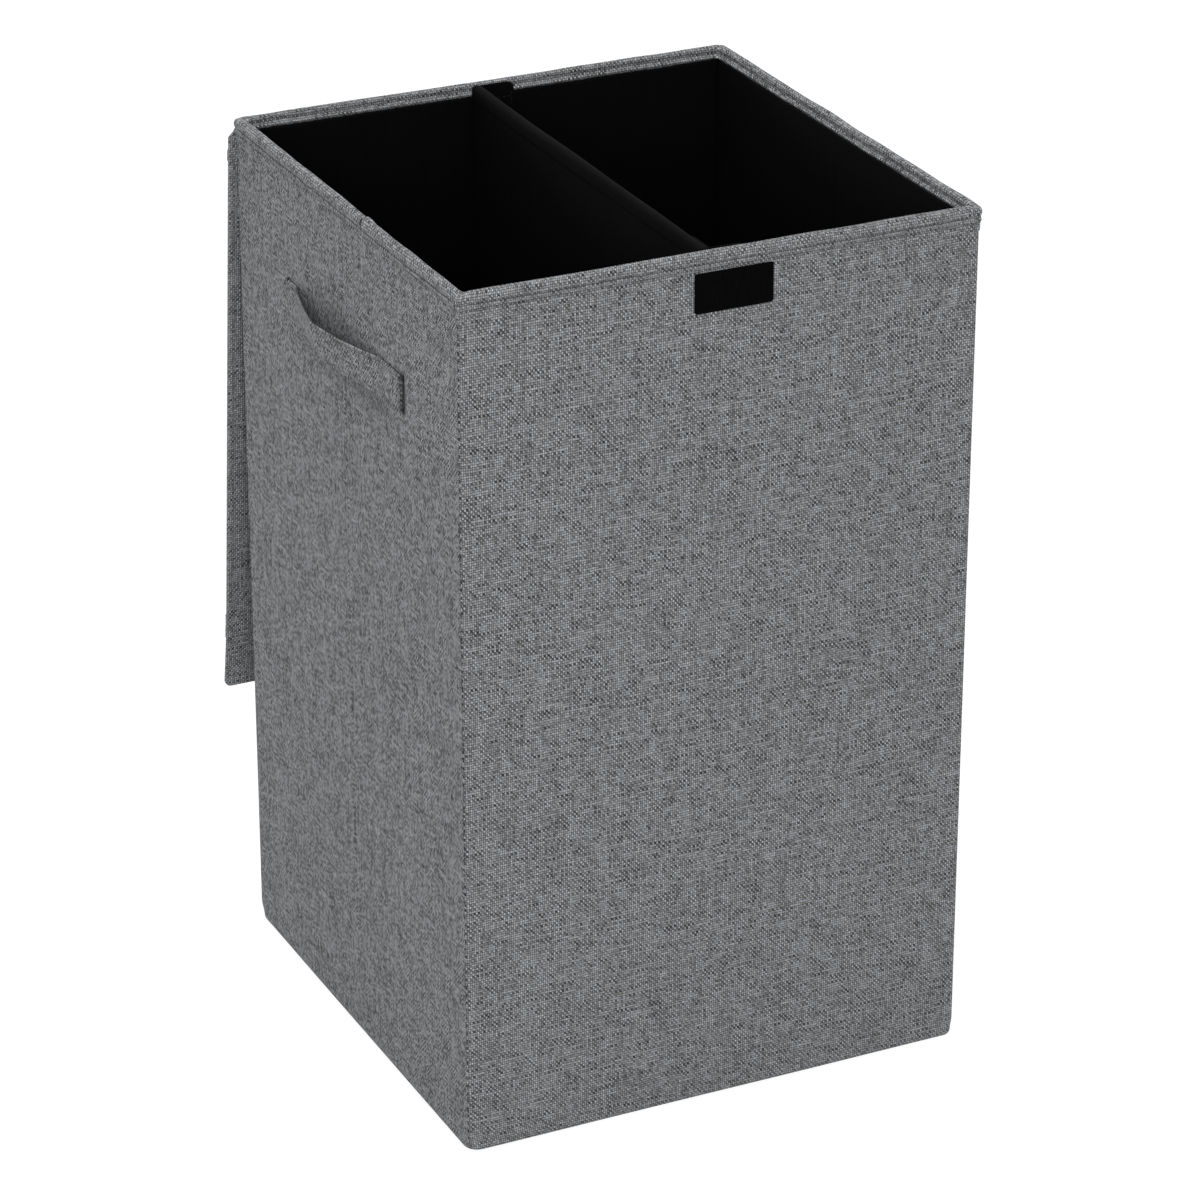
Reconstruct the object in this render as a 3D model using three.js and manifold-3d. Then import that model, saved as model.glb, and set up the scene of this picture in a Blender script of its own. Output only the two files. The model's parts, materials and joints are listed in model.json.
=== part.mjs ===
// Laundry hamper with two bins. A square box of linen-look cloth stands on boards sewn into its
// walls. A black lining, a loose base pad and a lift-out divider make two bins. The lid hangs
// behind the back wall on a strip of cloth, and its front flap closes on a loop patch.
//
// Millimetres, +Z up. The origin is the middle of the underside, and the front wall faces -Y.

import * as THREE from 'three';
import { mergeVertices } from 'three/addons/utils/BufferGeometryUtils.js';
import Module from 'manifold-3d';

const wasm = await Module();
wasm.setup();

// Driving dimensions
const body_width = 360;
const body_depth = 360;
const body_height = 600;

// Cloths, boards and the clearance between layers that lie on each other
const cloth = 1;
const lining_cloth = 0.6;
const wall_board = 2.5;
const board_corner = 20;
const flap_board = 1.2;
const base_board = 3;
const divider_board = 2.5;
const layer_clearance = 0.3;

// Cut of the cover
const hem_depth = 20;
const hem_band = 8;
const bottom_radius = 6;
const seam_allowance = 9;
const bottom_lap = 12;
const lap_start = 0.5;
const lap_run = 1.5;

// Side walls fold inwards at a gap between their two boards
const fold_gap = 6;

// Handles
const strap_width = 26;
const strap_thickness = 2;
const strap_tail_thickness = 1;
const strap_tail = 30;
const strap_drop = 84;
const handle_spacing = 188;
const handle_bow = 11.5;
const slit_clearance = 0.4;

// Hook and loop patches and strips
const tape = 1.2;
const patch_width = 54;
const patch_height = 26;
const patch_drop = 14;
const patch_offset = 6;
const patch_corner = 1.5;
const divider_tape = 1;
const divider_tape_width = 20;
const divider_tape_rise = 60;
const divider_tape_drop = 10;

// Lid
const lid_overhang = 4.5;
const lid_seam_drop = 10;
const lid_strip = 2;
const strip_corner = 5;
const lid_rim_clearance = 0.5;
const lid_tilt = THREE.MathUtils.degToRad(5.5);
const flap_length = 50;
const flap_corner = 8;
const flap_kick = THREE.MathUtils.degToRad(4);

// Divider and base pad
const divider_offset = -9;
const divider_drop = 2;
const divider_side_clearance = 0.6;
const flange_width = 25;
const flange_leg = 22;
const flange_rise = 20;
const flange_drop = 1.5;
const flange_corner = 6;
const pad_clearance = 0.7;
const pad_turn_in = 25;

// How far cutting solids run past what they cut
const overrun = 1;

// Depths inside a wall, counted inwards from its outer face
const board_depth = cloth + layer_clearance;
const hem_inner_depth = board_depth + wall_board + layer_clearance;
const lining_depth = hem_inner_depth + cloth + layer_clearance;
const wall_thickness = lining_depth + lining_cloth;
const loop_strip_depth = wall_thickness + layer_clearance;
const hook_strip_depth = loop_strip_depth + divider_tape + layer_clearance;
const flange_depth = hook_strip_depth + divider_tape + layer_clearance;

// Heights of the layers of the bottom
const lap_height = cloth + layer_clearance;
const bottom_lining_height = lap_height + cloth + layer_clearance;
const pad_height = bottom_lining_height + lining_cloth + layer_clearance;
const pad_thickness = base_board + 2 * (lining_cloth + layer_clearance);
const divider_height = pad_height + pad_thickness + layer_clearance;

// Finishes
const grey_cloth = { color: 0x75777a, roughness: 0.92, metalness: 0 };
const black_cloth = { color: 0x0c0c0d, roughness: 0.95, metalness: 0 };
const black_tape = { color: 0x101011, roughness: 0.98, metalness: 0 };
const greyboard = { color: 0x8a8173, roughness: 0.9, metalness: 0 };

const hamper = new THREE.Group();

// Turns a closed geometry into a solid that can be joined and cut
function solid(geometry) {
  geometry.deleteAttribute('normal');
  geometry.deleteAttribute('uv');
  const welded = mergeVertices(geometry);
  return new wasm.Manifold(new wasm.Mesh({
    numProp: 3,
    vertProperties: new Float32Array(welded.attributes.position.array),
    triVerts: new Uint32Array(welded.index.array),
  }));
}

// Adds a finished solid to a group as a named mesh with its own material
function addMesh(group, name, finish, body) {
  const result = body.getMesh();
  const indexed = new THREE.BufferGeometry();
  indexed.setAttribute('position', new THREE.BufferAttribute(new Float32Array(result.vertProperties), 3));
  indexed.setIndex(new THREE.BufferAttribute(new Uint32Array(result.triVerts), 1));
  const geometry = indexed.toNonIndexed();
  geometry.computeVertexNormals();
  const mesh = new THREE.Mesh(geometry, new THREE.MeshStandardMaterial(finish));
  mesh.name = name;
  group.add(mesh);
}

// A box between two corners
function box(x0, x1, y0, y1, z0, z1) {
  const geometry = new THREE.BoxGeometry(x1 - x0, y1 - y0, z1 - z0);
  geometry.translate((x0 + x1) / 2, (y0 + y1) / 2, (z0 + z1) / 2);
  return solid(geometry);
}

// A prism whose outline is given in two axes and whose length runs along the third
function prism(outline, from, to, first_axis, second_axis, length_axis) {
  const geometry = new THREE.ExtrudeGeometry(outline, { depth: to - from, bevelEnabled: false });
  geometry.translate(0, 0, from);
  geometry.applyMatrix4(new THREE.Matrix4().makeBasis(first_axis, second_axis, length_axis));
  return solid(geometry);
}

const x_axis = new THREE.Vector3(1, 0, 0);
const y_axis = new THREE.Vector3(0, 1, 0);
const z_axis = new THREE.Vector3(0, 0, 1);

// An outline in Y and Z drawn out along X, and one in X and Y drawn up along Z
const alongX = (outline, from, to) => prism(outline, from, to, y_axis, z_axis, x_axis);
const alongZ = (outline, from, to) => prism(outline, from, to, x_axis, y_axis, z_axis);

// An outline in X and Z drawn out along Y, between two places on it
function alongY(outline, from, to) {
  return prism(outline, -to, -from, x_axis, z_axis, y_axis.clone().negate());
}

const point = (a, b) => new THREE.Vector2(a, b);

// The outline of a sheet of even thickness that follows a path, with mitred bends
function sheetOutline(path, thickness) {
  const left = [];
  const right = [];
  path.forEach((here, i) => {
    const into = (i > 0 ? here.clone().sub(path[i - 1]) : path[1].clone().sub(here)).normalize();
    const out = (i < path.length - 1 ? path[i + 1].clone().sub(here) : into.clone()).normalize();
    const bisector = into.clone().add(out).normalize();
    const normal = point(-bisector.y, bisector.x);
    const reach = thickness / 2 / normal.dot(point(-into.y, into.x));
    left.push(here.clone().addScaledVector(normal, reach));
    right.unshift(here.clone().addScaledVector(normal, -reach));
  });
  return new THREE.Shape([...left, ...right]);
}

// A rectangle with rounded corners; the radii are for bottom left, bottom right, top right, top left
function roundedRectangle(a0, a1, b0, b1, radii) {
  const [bottom_left, bottom_right, top_right, top_left] = radii;
  const outline = new THREE.Shape();
  outline.moveTo(a0 + bottom_left, b0);
  outline.lineTo(a1 - bottom_right, b0);
  if (bottom_right > 0) outline.absarc(a1 - bottom_right, b0 + bottom_right, bottom_right, -Math.PI / 2, 0);
  outline.lineTo(a1, b1 - top_right);
  if (top_right > 0) outline.absarc(a1 - top_right, b1 - top_right, top_right, 0, Math.PI / 2);
  outline.lineTo(a0 + top_left, b1);
  if (top_left > 0) outline.absarc(a0 + top_left, b1 - top_left, top_left, Math.PI / 2, Math.PI);
  outline.lineTo(a0, b0 + bottom_left);
  if (bottom_left > 0) outline.absarc(a0 + bottom_left, b0 + bottom_left, bottom_left, Math.PI, Math.PI * 1.5);
  return outline;
}

// A wall has its own group: X along the wall, Y inwards from its outer face, Z up
function wallGroup(turn, x, y) {
  const group = new THREE.Group();
  group.rotation.z = turn;
  group.position.set(x, y, 0);
  hamper.add(group);
  return group;
}

const walls = {
  front: { group: wallGroup(0, 0, -body_depth / 2), length: body_width, folds: false },
  right: { group: wallGroup(Math.PI / 2, body_width / 2, 0), length: body_depth, folds: true },
  back: { group: wallGroup(Math.PI, 0, body_depth / 2), length: body_width, folds: false },
  left: { group: wallGroup(-Math.PI / 2, -body_width / 2, 0), length: body_depth, folds: true },
};

// The wedge between two corner mitres, which leaves a clearance to the next wall's sheet
function mitreWedge(length) {
  const reach = bottom_radius + bottom_lap + overrun;
  const half = length / 2 - layer_clearance / Math.SQRT2;
  const outline = new THREE.Shape([
    point(-half - overrun, -overrun),
    point(half + overrun, -overrun),
    point(half - reach, reach),
    point(-half + reach, reach),
  ]);
  return alongZ(outline, -overrun, body_height + overrun);
}

// The cover's section: hem inside the rim, outer face, rounded foot and the lap over the bottom
function coverSection() {
  const path = [
    point(hem_inner_depth + cloth / 2, body_height - hem_depth),
    point(hem_inner_depth + cloth / 2, body_height - cloth / 2),
    point(cloth / 2, body_height - cloth / 2),
  ];
  const foot_steps = 6;
  const foot_radius = bottom_radius - cloth / 2;
  for (let i = 0; i <= foot_steps; i += 1) {
    const angle = Math.PI + (Math.PI / 2) * (i / foot_steps);
    path.push(point(
      bottom_radius + foot_radius * Math.cos(angle),
      bottom_radius + foot_radius * Math.sin(angle),
    ));
  }
  path.push(point(bottom_radius + lap_start, cloth / 2));
  path.push(point(bottom_radius + lap_start + lap_run, lap_height + cloth / 2));
  path.push(point(bottom_radius + bottom_lap, lap_height + cloth / 2));
  return sheetOutline(path, cloth);
}

// Corner seam allowances, turned in behind the covers between foot and hem. The front and back
// covers fold theirs flat behind themselves, and those of the side covers lie on them.
const allowance_low = bottom_radius + bottom_lap;
const allowance_high = body_height - hem_depth - layer_clearance;
const front_allowance_depth = board_depth;
const side_allowance_depth = front_allowance_depth + cloth + layer_clearance;

function seamAllowances(wall) {
  const end = wall.length / 2;
  const strips = [];
  if (wall.folds) {
    const inner = end - side_allowance_depth - cloth;
    strips.push([inner, inner + cloth, cloth / 2, seam_allowance]);
  } else {
    const outer = end - side_allowance_depth;
    strips.push([outer - cloth, outer, cloth / 2, front_allowance_depth + cloth]);
    strips.push([end - seam_allowance, outer, front_allowance_depth, front_allowance_depth + cloth]);
  }
  return strips.flatMap(([x0, x1, y0, y1]) => [
    box(x0, x1, y0, y1, allowance_low, allowance_high),
    box(-x1, -x0, y0, y1, allowance_low, allowance_high),
  ]);
}

// Handle slits pass through the cover and the board behind it
const strap_low = body_height - strap_drop - strap_width;
const strap_high = body_height - strap_drop;
const slit_half = strap_tail_thickness / 2 + slit_clearance;

function handleSlit(centre) {
  return box(
    centre - slit_half, centre + slit_half,
    -overrun, hem_inner_depth,
    strap_low - slit_clearance, strap_high + slit_clearance,
  );
}

function addWall(name, wall) {
  const half = wall.length / 2;
  const wedge = mitreWedge(wall.length);
  const slits = wall.folds ? [handleSlit(handle_spacing / 2), handleSlit(-handle_spacing / 2)] : [];
  const cut = (body) => slits.reduce((rest, slit) => rest.subtract(slit), body);

  let cover = alongX(coverSection(), -half, half).intersect(wedge);
  seamAllowances(wall).forEach((strip) => {
    cover = cover.add(strip);
  });
  addMesh(wall.group, `${name}_cover`, grey_cloth, cut(cover));

  // The boards' lower outer corners are rounded, so the cover can turn softly round its foot
  const board_low = bottom_radius;
  const board_high = body_height - cloth - layer_clearance;
  const board = (from, to, radii) => alongY(
    roundedRectangle(from, to, board_low, board_high, radii), board_depth, board_depth + wall_board,
  );
  if (wall.folds) {
    const board_end = half - side_allowance_depth - cloth - layer_clearance;
    const forward = name === 'left' ? 1 : -1;
    const halves = [['front', forward], ['back', -forward]];
    halves.forEach(([which, way]) => {
      const ends = [way * fold_gap / 2, way * board_end].sort((a, b) => a - b);
      const radii = way > 0 ? [0, board_corner, 0, 0] : [board_corner, 0, 0, 0];
      addMesh(wall.group, `${name}_${which}_board`, greyboard, cut(board(...ends, radii)));
    });
  } else {
    const board_end = half - seam_allowance - layer_clearance;
    const radii = [board_corner, board_corner, 0, 0];
    addMesh(wall.group, `${name}_board`, greyboard, board(-board_end, board_end, radii));
  }

  const lining_sheet = box(
    -half, half,
    lining_depth, lining_depth + lining_cloth,
    pad_height, body_height - hem_band,
  );
  addMesh(wall.group, `${name}_lining`, black_cloth, lining_sheet.intersect(wedge));
}

Object.entries(walls).forEach(([name, wall]) => addWall(name, wall));

// The bottom panel of the cover lies between the rounded feet of the walls, under their laps
const bottom_inset = bottom_radius + lap_start + lap_run + cloth;
addMesh(hamper, 'bottom_cover', grey_cloth, box(
  -body_width / 2 + bottom_inset, body_width / 2 - bottom_inset,
  -body_depth / 2 + bottom_inset, body_depth / 2 - bottom_inset,
  0, cloth,
));
addMesh(hamper, 'bottom_lining', black_cloth, box(
  -body_width / 2 + lining_depth, body_width / 2 - lining_depth,
  -body_depth / 2 + lining_depth, body_depth / 2 - lining_depth,
  bottom_lining_height, bottom_lining_height + lining_cloth,
));

// A strap handle bows out from the side wall and sags back on it towards the front. Its single
// tails go in through the slits and lie flat between the board and the lining.
function addHandle(name, wall, rearward) {
  const lie = -layer_clearance - strap_thickness / 2;
  const reach = handle_spacing / 2;
  const bow_shares = [[1, 0], [0.64, 0.35], [0.27, 1], [0, 0.85], [-0.32, 0.26], [-0.64, 0.04], [-1, 0]];
  const bow_points = bow_shares.map(([along, out]) => (
    point(rearward * along * reach, lie - out * handle_bow)));
  const bow_steps = 24;
  const bow_path = new THREE.SplineCurve(bow_points).getPoints(bow_steps);
  let strap = alongZ(sheetOutline(bow_path, strap_thickness), strap_low, strap_high);
  [1, -1].forEach((end) => {
    const tail_depth = hem_inner_depth + cloth / 2;
    const tail_path = [
      point(end * (reach - strap_thickness), lie),
      point(end * reach, lie),
      point(end * reach, tail_depth),
      point(end * (reach + strap_tail), tail_depth),
    ];
    strap = strap.add(alongZ(sheetOutline(tail_path, strap_tail_thickness), strap_low, strap_high));
  });
  addMesh(wall.group, name, grey_cloth, strap);
}

addHandle('left_handle', walls.left, -1);
addHandle('right_handle', walls.right, 1);

// Loop patch on the front, and loop strips on the lining for the divider
const patch_outline = (low, high) => roundedRectangle(
  patch_offset - patch_width / 2, patch_offset + patch_width / 2,
  low, high, Array(4).fill(patch_corner),
);
addMesh(walls.front.group, 'front_loop_patch', black_tape, alongY(
  patch_outline(body_height - patch_drop - patch_height, body_height - patch_drop),
  -layer_clearance - tape, -layer_clearance,
));

const divider_half = divider_board / 2 + layer_clearance + lining_cloth;
const tape_start = divider_offset + divider_half + 2 * (layer_clearance + lining_cloth);
const tape_end = tape_start + divider_tape_width;
const tape_low = divider_tape_rise;
const tape_high = body_height - divider_tape_drop;

// A piece on the front or the back wall's inside; depth counts from the wall's outer face
function betweenDepths(end, near, far) {
  return [end * (body_depth / 2 - near), end * (body_depth / 2 - far)].sort((a, b) => a - b);
}

const ends = [['front', -1], ['back', 1]];
ends.forEach(([name, end]) => {
  const strip = box(
    tape_start, tape_end,
    ...betweenDepths(end, loop_strip_depth, loop_strip_depth + divider_tape),
    tape_low, tape_high,
  );
  addMesh(hamper, `${name}_divider_loop`, black_tape, strip);
});

// The base pad is a board wrapped in lining cloth, turned in and glued under its edges. It is
// narrow enough to lift out past the loop strips.
const pad_x = body_width / 2 - wall_thickness - pad_clearance;
const pad_y = body_depth / 2 - loop_strip_depth - divider_tape - pad_clearance;
const pad_wrap = lining_cloth + layer_clearance;
const board_x = pad_x - pad_wrap;
const board_y = pad_y - pad_wrap;
const board_z = pad_height + pad_wrap;
addMesh(hamper, 'base_board', greyboard, box(
  -board_x, board_x, -board_y, board_y, board_z, board_z + base_board,
));
const pad_cover = box(-pad_x, pad_x, -pad_y, pad_y, pad_height, pad_height + pad_thickness)
  .subtract(box(
    -pad_x + lining_cloth, pad_x - lining_cloth,
    -pad_y + lining_cloth, pad_y - lining_cloth,
    pad_height + lining_cloth, pad_height + pad_thickness - lining_cloth,
  ))
  .subtract(box(
    -pad_x + pad_turn_in, pad_x - pad_turn_in,
    -pad_y + pad_turn_in, pad_y - pad_turn_in,
    pad_height - overrun, pad_height + base_board,
  ));
addMesh(hamper, 'base_board_cover', black_cloth, pad_cover);

// The divider stands on the pad: a board in a sleeve of lining cloth, open at the bottom
const divider_top = body_height - divider_drop;
const divider_y = body_depth / 2 - wall_thickness - divider_side_clearance;
const sleeve_y = divider_y - lining_cloth;
const stiffener_y = sleeve_y - layer_clearance;
addMesh(hamper, 'divider_cover', black_cloth, box(
  divider_offset - divider_half, divider_offset + divider_half,
  -divider_y, divider_y,
  divider_height, divider_top,
).subtract(box(
  divider_offset - divider_half + lining_cloth, divider_offset + divider_half - lining_cloth,
  -sleeve_y, sleeve_y,
  divider_height - overrun, divider_top - lining_cloth,
)));
addMesh(hamper, 'divider_board', greyboard, box(
  divider_offset - divider_board / 2, divider_offset + divider_board / 2,
  -stiffener_y, stiffener_y,
  divider_height, divider_top - lining_cloth - layer_clearance,
));

// A flange at each end, sewn along the divider's right face and lying on the wall, with a hook
// strip on its outer side that grips the loop strip
ends.forEach(([name, end]) => {
  const leg_x = divider_offset + divider_half + layer_clearance;
  const flange_outline = roundedRectangle(
    leg_x, leg_x + flange_width, flange_rise, body_height - flange_drop,
    [0, flange_corner, flange_corner, 0],
  );
  const face = betweenDepths(end, flange_depth, flange_depth + lining_cloth);
  const flange = alongY(flange_outline, ...face).add(box(
    leg_x, leg_x + lining_cloth,
    ...betweenDepths(end, flange_depth, flange_depth + flange_leg),
    flange_rise, body_height - flange_drop,
  ));
  addMesh(hamper, `divider_${name}_flange`, black_cloth, flange);
  const strip = box(
    tape_start, tape_end,
    ...betweenDepths(end, hook_strip_depth, hook_strip_depth + divider_tape),
    tape_low, tape_high,
  );
  addMesh(hamper, `divider_${name}_hook`, black_tape, strip);
});

// The lid hangs from a seam on the back wall. Its group's origin is that seam: -Z runs down the
// lid, -Y is the cloth side and +Y is the lining side. Closed, the strip stands up behind the
// rim and the panel lies over it.
const lid = new THREE.Group();
const seam_y = body_depth / 2 + layer_clearance + lid_strip / 2;
lid.position.set(0, seam_y, body_height - lid_seam_drop);
lid.rotation.x = lid_tilt;
hamper.add(lid);

const lid_half_width = body_width / 2 + lid_overhang;
const panel_thickness = cloth + wall_board + lining_cloth + 2 * layer_clearance;
const flap_thickness = cloth + flap_board + lining_cloth + 2 * layer_clearance;
const strip_length = lid_seam_drop + lid_rim_clearance + panel_thickness / 2;
const flap_stand_off = layer_clearance + tape + layer_clearance + tape + layer_clearance;
const panel_length = seam_y + body_depth / 2 + flap_stand_off + flap_thickness / 2;

// The strip's ends are round, so it turns against the wall and the panel without touching them.
// Its upper corners are cut off.
function stripOutline() {
  const radius = lid_strip / 2;
  const outline = new THREE.Shape();
  outline.moveTo(radius, -strip_length);
  outline.lineTo(radius, 0);
  outline.absarc(0, 0, radius, 0, Math.PI);
  outline.lineTo(-radius, -strip_length);
  outline.absarc(0, -strip_length, radius, Math.PI, 2 * Math.PI);
  return outline;
}
const strip_face = new THREE.Shape([
  point(-lid_half_width, -strip_length - lid_strip),
  point(lid_half_width, -strip_length - lid_strip),
  point(lid_half_width, lid_strip / 2 - strip_corner),
  point(lid_half_width - strip_corner, lid_strip / 2),
  point(-lid_half_width + strip_corner, lid_strip / 2),
  point(-lid_half_width, lid_strip / 2 - strip_corner),
]);
addMesh(lid, 'lid_hinge_strip', grey_cloth, alongX(stripOutline(), -lid_half_width, lid_half_width)
  .intersect(alongY(strip_face, -lid_strip, lid_strip)));

// A tray of cloth, turned up round a board and closed by a lining sewn inside its edges
function addTray(group, name, outline, half_thickness, stiffener) {
  const face = -half_thickness;
  const board_face = face + cloth + layer_clearance;
  const lining_face = board_face + stiffener + layer_clearance;
  const cover = alongY(outline(0), face, half_thickness)
    .subtract(alongY(outline(cloth), face + cloth, half_thickness + overrun));
  const inset = cloth + layer_clearance;
  const board = alongY(outline(inset), board_face, board_face + stiffener);
  const lining_sheet = alongY(outline(inset), lining_face, lining_face + lining_cloth);
  addMesh(group, `${name}_board`, greyboard, board);
  addMesh(group, `${name}_lining`, black_cloth, lining_sheet);
  return cover;
}

const panel_top = -strip_length - lid_strip / 2 - layer_clearance;
const panel_bottom = -strip_length - panel_length + flap_thickness / 2 + layer_clearance;
const panel_cover = addTray(lid, 'lid', (inset) => roundedRectangle(
  -lid_half_width + inset, lid_half_width - inset,
  panel_bottom + inset, panel_top - inset, [0, 0, 0, 0],
), panel_thickness / 2, wall_board);
addMesh(lid, 'lid_cover', grey_cloth, panel_cover);

// The flap turns at its own crease, where its cover ends in a round lip
const flap = new THREE.Group();
flap.position.set(0, 0, -strip_length - panel_length);
flap.rotation.x = flap_kick;
lid.add(flap);
const lip_radius = flap_thickness / 2;
const flap_tray = addTray(flap, 'flap', (inset) => {
  const corner = flap_corner - inset;
  return roundedRectangle(
    -lid_half_width + inset, lid_half_width - inset,
    -flap_length + inset, -lip_radius - inset, [corner, corner, 0, 0],
  );
}, lip_radius, flap_board);
const lip_outline = new THREE.Shape();
lip_outline.moveTo(-lip_radius, -lip_radius - cloth);
lip_outline.lineTo(lip_radius, -lip_radius - cloth);
lip_outline.lineTo(lip_radius, 0);
lip_outline.absarc(0, 0, lip_radius, 0, Math.PI);
const lip = alongX(lip_outline, -lid_half_width, lid_half_width);
addMesh(flap, 'flap_cover', grey_cloth, flap_tray.add(lip));

// Closed, the hook patch on the flap's lining meets the loop patch on the front wall
const closed_crease = body_height + lid_rim_clearance + panel_thickness / 2;
const hook_top = -(closed_crease - (body_height - patch_drop));
addMesh(flap, 'flap_hook_patch', black_tape, alongY(
  patch_outline(hook_top - patch_height, hook_top),
  lip_radius + layer_clearance, lip_radius + layer_clearance + tape,
));

export default hamper;
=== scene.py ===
# %% [markdown]
# This scene dresses a square laundry hamper with two bins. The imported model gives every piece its
# size and place, and this script gives it cloth, thread, tape, card and light. The real thing is a
# box of linen-look cloth with boards sewn into its walls, so nothing on it is quite flat or quite
# sharp. Most of the work is in the soft edges, the seams and the weave.

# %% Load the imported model
import json
import math
from types import SimpleNamespace

import bpy
import numpy as np
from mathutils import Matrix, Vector


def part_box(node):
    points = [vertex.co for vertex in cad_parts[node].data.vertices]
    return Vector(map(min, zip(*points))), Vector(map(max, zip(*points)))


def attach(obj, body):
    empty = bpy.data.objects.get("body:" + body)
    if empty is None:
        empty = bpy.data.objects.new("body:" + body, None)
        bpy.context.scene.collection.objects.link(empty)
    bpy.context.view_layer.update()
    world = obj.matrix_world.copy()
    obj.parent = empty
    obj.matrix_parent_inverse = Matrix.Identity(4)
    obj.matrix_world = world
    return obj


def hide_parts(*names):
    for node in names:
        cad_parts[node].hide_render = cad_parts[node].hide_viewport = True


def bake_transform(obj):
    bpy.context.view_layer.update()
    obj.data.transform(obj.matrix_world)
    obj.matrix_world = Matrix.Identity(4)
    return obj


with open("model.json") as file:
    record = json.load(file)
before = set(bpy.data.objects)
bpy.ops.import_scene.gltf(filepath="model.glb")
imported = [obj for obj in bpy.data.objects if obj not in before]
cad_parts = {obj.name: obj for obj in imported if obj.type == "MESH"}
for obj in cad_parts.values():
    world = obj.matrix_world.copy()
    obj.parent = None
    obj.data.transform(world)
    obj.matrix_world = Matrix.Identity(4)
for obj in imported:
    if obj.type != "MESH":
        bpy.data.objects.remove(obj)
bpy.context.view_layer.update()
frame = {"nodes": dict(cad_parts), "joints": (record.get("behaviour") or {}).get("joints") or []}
nodes = frame["nodes"]

# %% [markdown]
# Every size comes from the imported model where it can. What the model doesn't hold, such as how far
# apart the stitches are, is measured in the photograph and gets a name here.

# %% Sizes that several pieces share
MM = 0.001

half_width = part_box("right_cover")[1].x
half_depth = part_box("back_cover")[1].y
rim_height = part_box("front_cover")[1].z
joint_place = {joint["name"]: Vector(joint["pos_m"]) for joint in frame["joints"] if "pos_m" in joint}

cloth_thickness = 0.8 * MM
lining_thickness = 0.5 * MM
stitch_pitch = 3.6 * MM
upright_pitch = 1.47 * MM
level_pitch = 1.68 * MM
print("half width, half depth, rim height:", half_width, half_depth, rim_height)

# %% [markdown]
# The photograph was taken from the front left and from above. Its camera was worked out from the
# seven corners of the box that show: a long lens, far away, which keeps the edges nearly parallel.
# The picture's own uprights are exactly parallel, which a plain camera can't give at this angle.

# %% Camera at the photograph's angle
camera_azimuth = math.radians(-25.59)
camera_elevation = math.radians(24.76)
camera_distance = 3.256
camera_target = Vector((0.0008, 0.0, 0.2872))
focal_pixels = 4853
photo_pixels = 1200
sensor_width = 36

camera_data = bpy.data.cameras.new("camera")
camera_data.sensor_width = sensor_width
camera_data.lens = focal_pixels / photo_pixels * sensor_width
camera = bpy.data.objects.new("camera", camera_data)
bpy.context.scene.collection.objects.link(camera)
back_to_camera = Vector((
    math.sin(camera_azimuth) * math.cos(camera_elevation),
    -math.cos(camera_azimuth) * math.cos(camera_elevation),
    math.sin(camera_elevation),
))
camera.location = camera_target + camera_distance * back_to_camera
camera.rotation_mode = "QUATERNION"
camera.rotation_quaternion = (-back_to_camera).to_track_quat("-Z", "Y")
bpy.context.scene.camera = camera
print("lens in millimetres:", round(camera_data.lens, 1))

# %% [markdown]
# The light is that of a packshot: a white surround and four large soft lamps. The strongest hangs
# above, the next stands at the front left beside the camera, and two weaker ones light the right
# and the back. One hard lamp would be simpler, but it would draw shadows that the photograph
# doesn't have. The world is plain white where the camera looks past the hamper and dimmer as a
# lamp, so that the cloth keeps its own grey.

# %% World and lamps
surround_light = 0.42
LAMPS = {
    "front_left_lamp": ((-1.1, -2.5, 1.3), 0.9, 28),
    "right_lamp": ((2.7, 0.3, 0.6), 0.9, 13),
    "back_lamp": ((-0.6, 2.7, 0.8), 1.1, 17),
    "top_lamp": ((0.0, 0.0, 2.9), 1.4, 34),
}

world = bpy.data.worlds.new("surround")
bpy.context.scene.world = world
world.use_nodes = True
world_nodes = world.node_tree.nodes
world_nodes.clear()
seen_or_lit = world_nodes.new("ShaderNodeMixShader")
seen = world_nodes.new("ShaderNodeBackground")
seen.inputs["Strength"].default_value = 1.0
lit = world_nodes.new("ShaderNodeBackground")
lit.inputs["Strength"].default_value = surround_light
for background in (seen, lit):
    background.inputs["Color"].default_value = (1, 1, 1, 1)
world_output = world_nodes.new("ShaderNodeOutputWorld")


def looked_at(tree):
    """1 for rays from the camera, mirror rays and rays through glass, and 0 for the light's own."""
    path = tree.nodes.new("ShaderNodeLightPath")
    first = tree.nodes.new("ShaderNodeMath")
    second = tree.nodes.new("ShaderNodeMath")
    first.operation = "MAXIMUM"
    second.operation = "MAXIMUM"
    tree.links.new(path.outputs["Is Camera Ray"], first.inputs[0])
    tree.links.new(path.outputs["Is Glossy Ray"], first.inputs[1])
    tree.links.new(first.outputs[0], second.inputs[0])
    tree.links.new(path.outputs["Is Transmission Ray"], second.inputs[1])
    return second.outputs[0]


world.node_tree.links.new(looked_at(world.node_tree), seen_or_lit.inputs[0])
world.node_tree.links.new(lit.outputs[0], seen_or_lit.inputs[1])
world.node_tree.links.new(seen.outputs[0], seen_or_lit.inputs[2])
world.node_tree.links.new(seen_or_lit.outputs[0], world_output.inputs["Surface"])


def soft_lamp(name, place, size, watts):
    """A square lamp that faces the middle of the hamper."""
    data = bpy.data.lights.new(name, "AREA")
    data.size = size
    data.energy = watts
    lamp = bpy.data.objects.new(name, data)
    bpy.context.scene.collection.objects.link(lamp)
    lamp.location = place
    aim = Vector((0, 0, rim_height / 2)) - lamp.location
    lamp.rotation_mode = "QUATERNION"
    lamp.rotation_quaternion = aim.to_track_quat("-Z", "Y")


for lamp_name, (place, size, watts) in LAMPS.items():
    soft_lamp(lamp_name, place, size, watts)
bpy.context.scene.view_settings.view_transform = "Standard"

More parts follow.
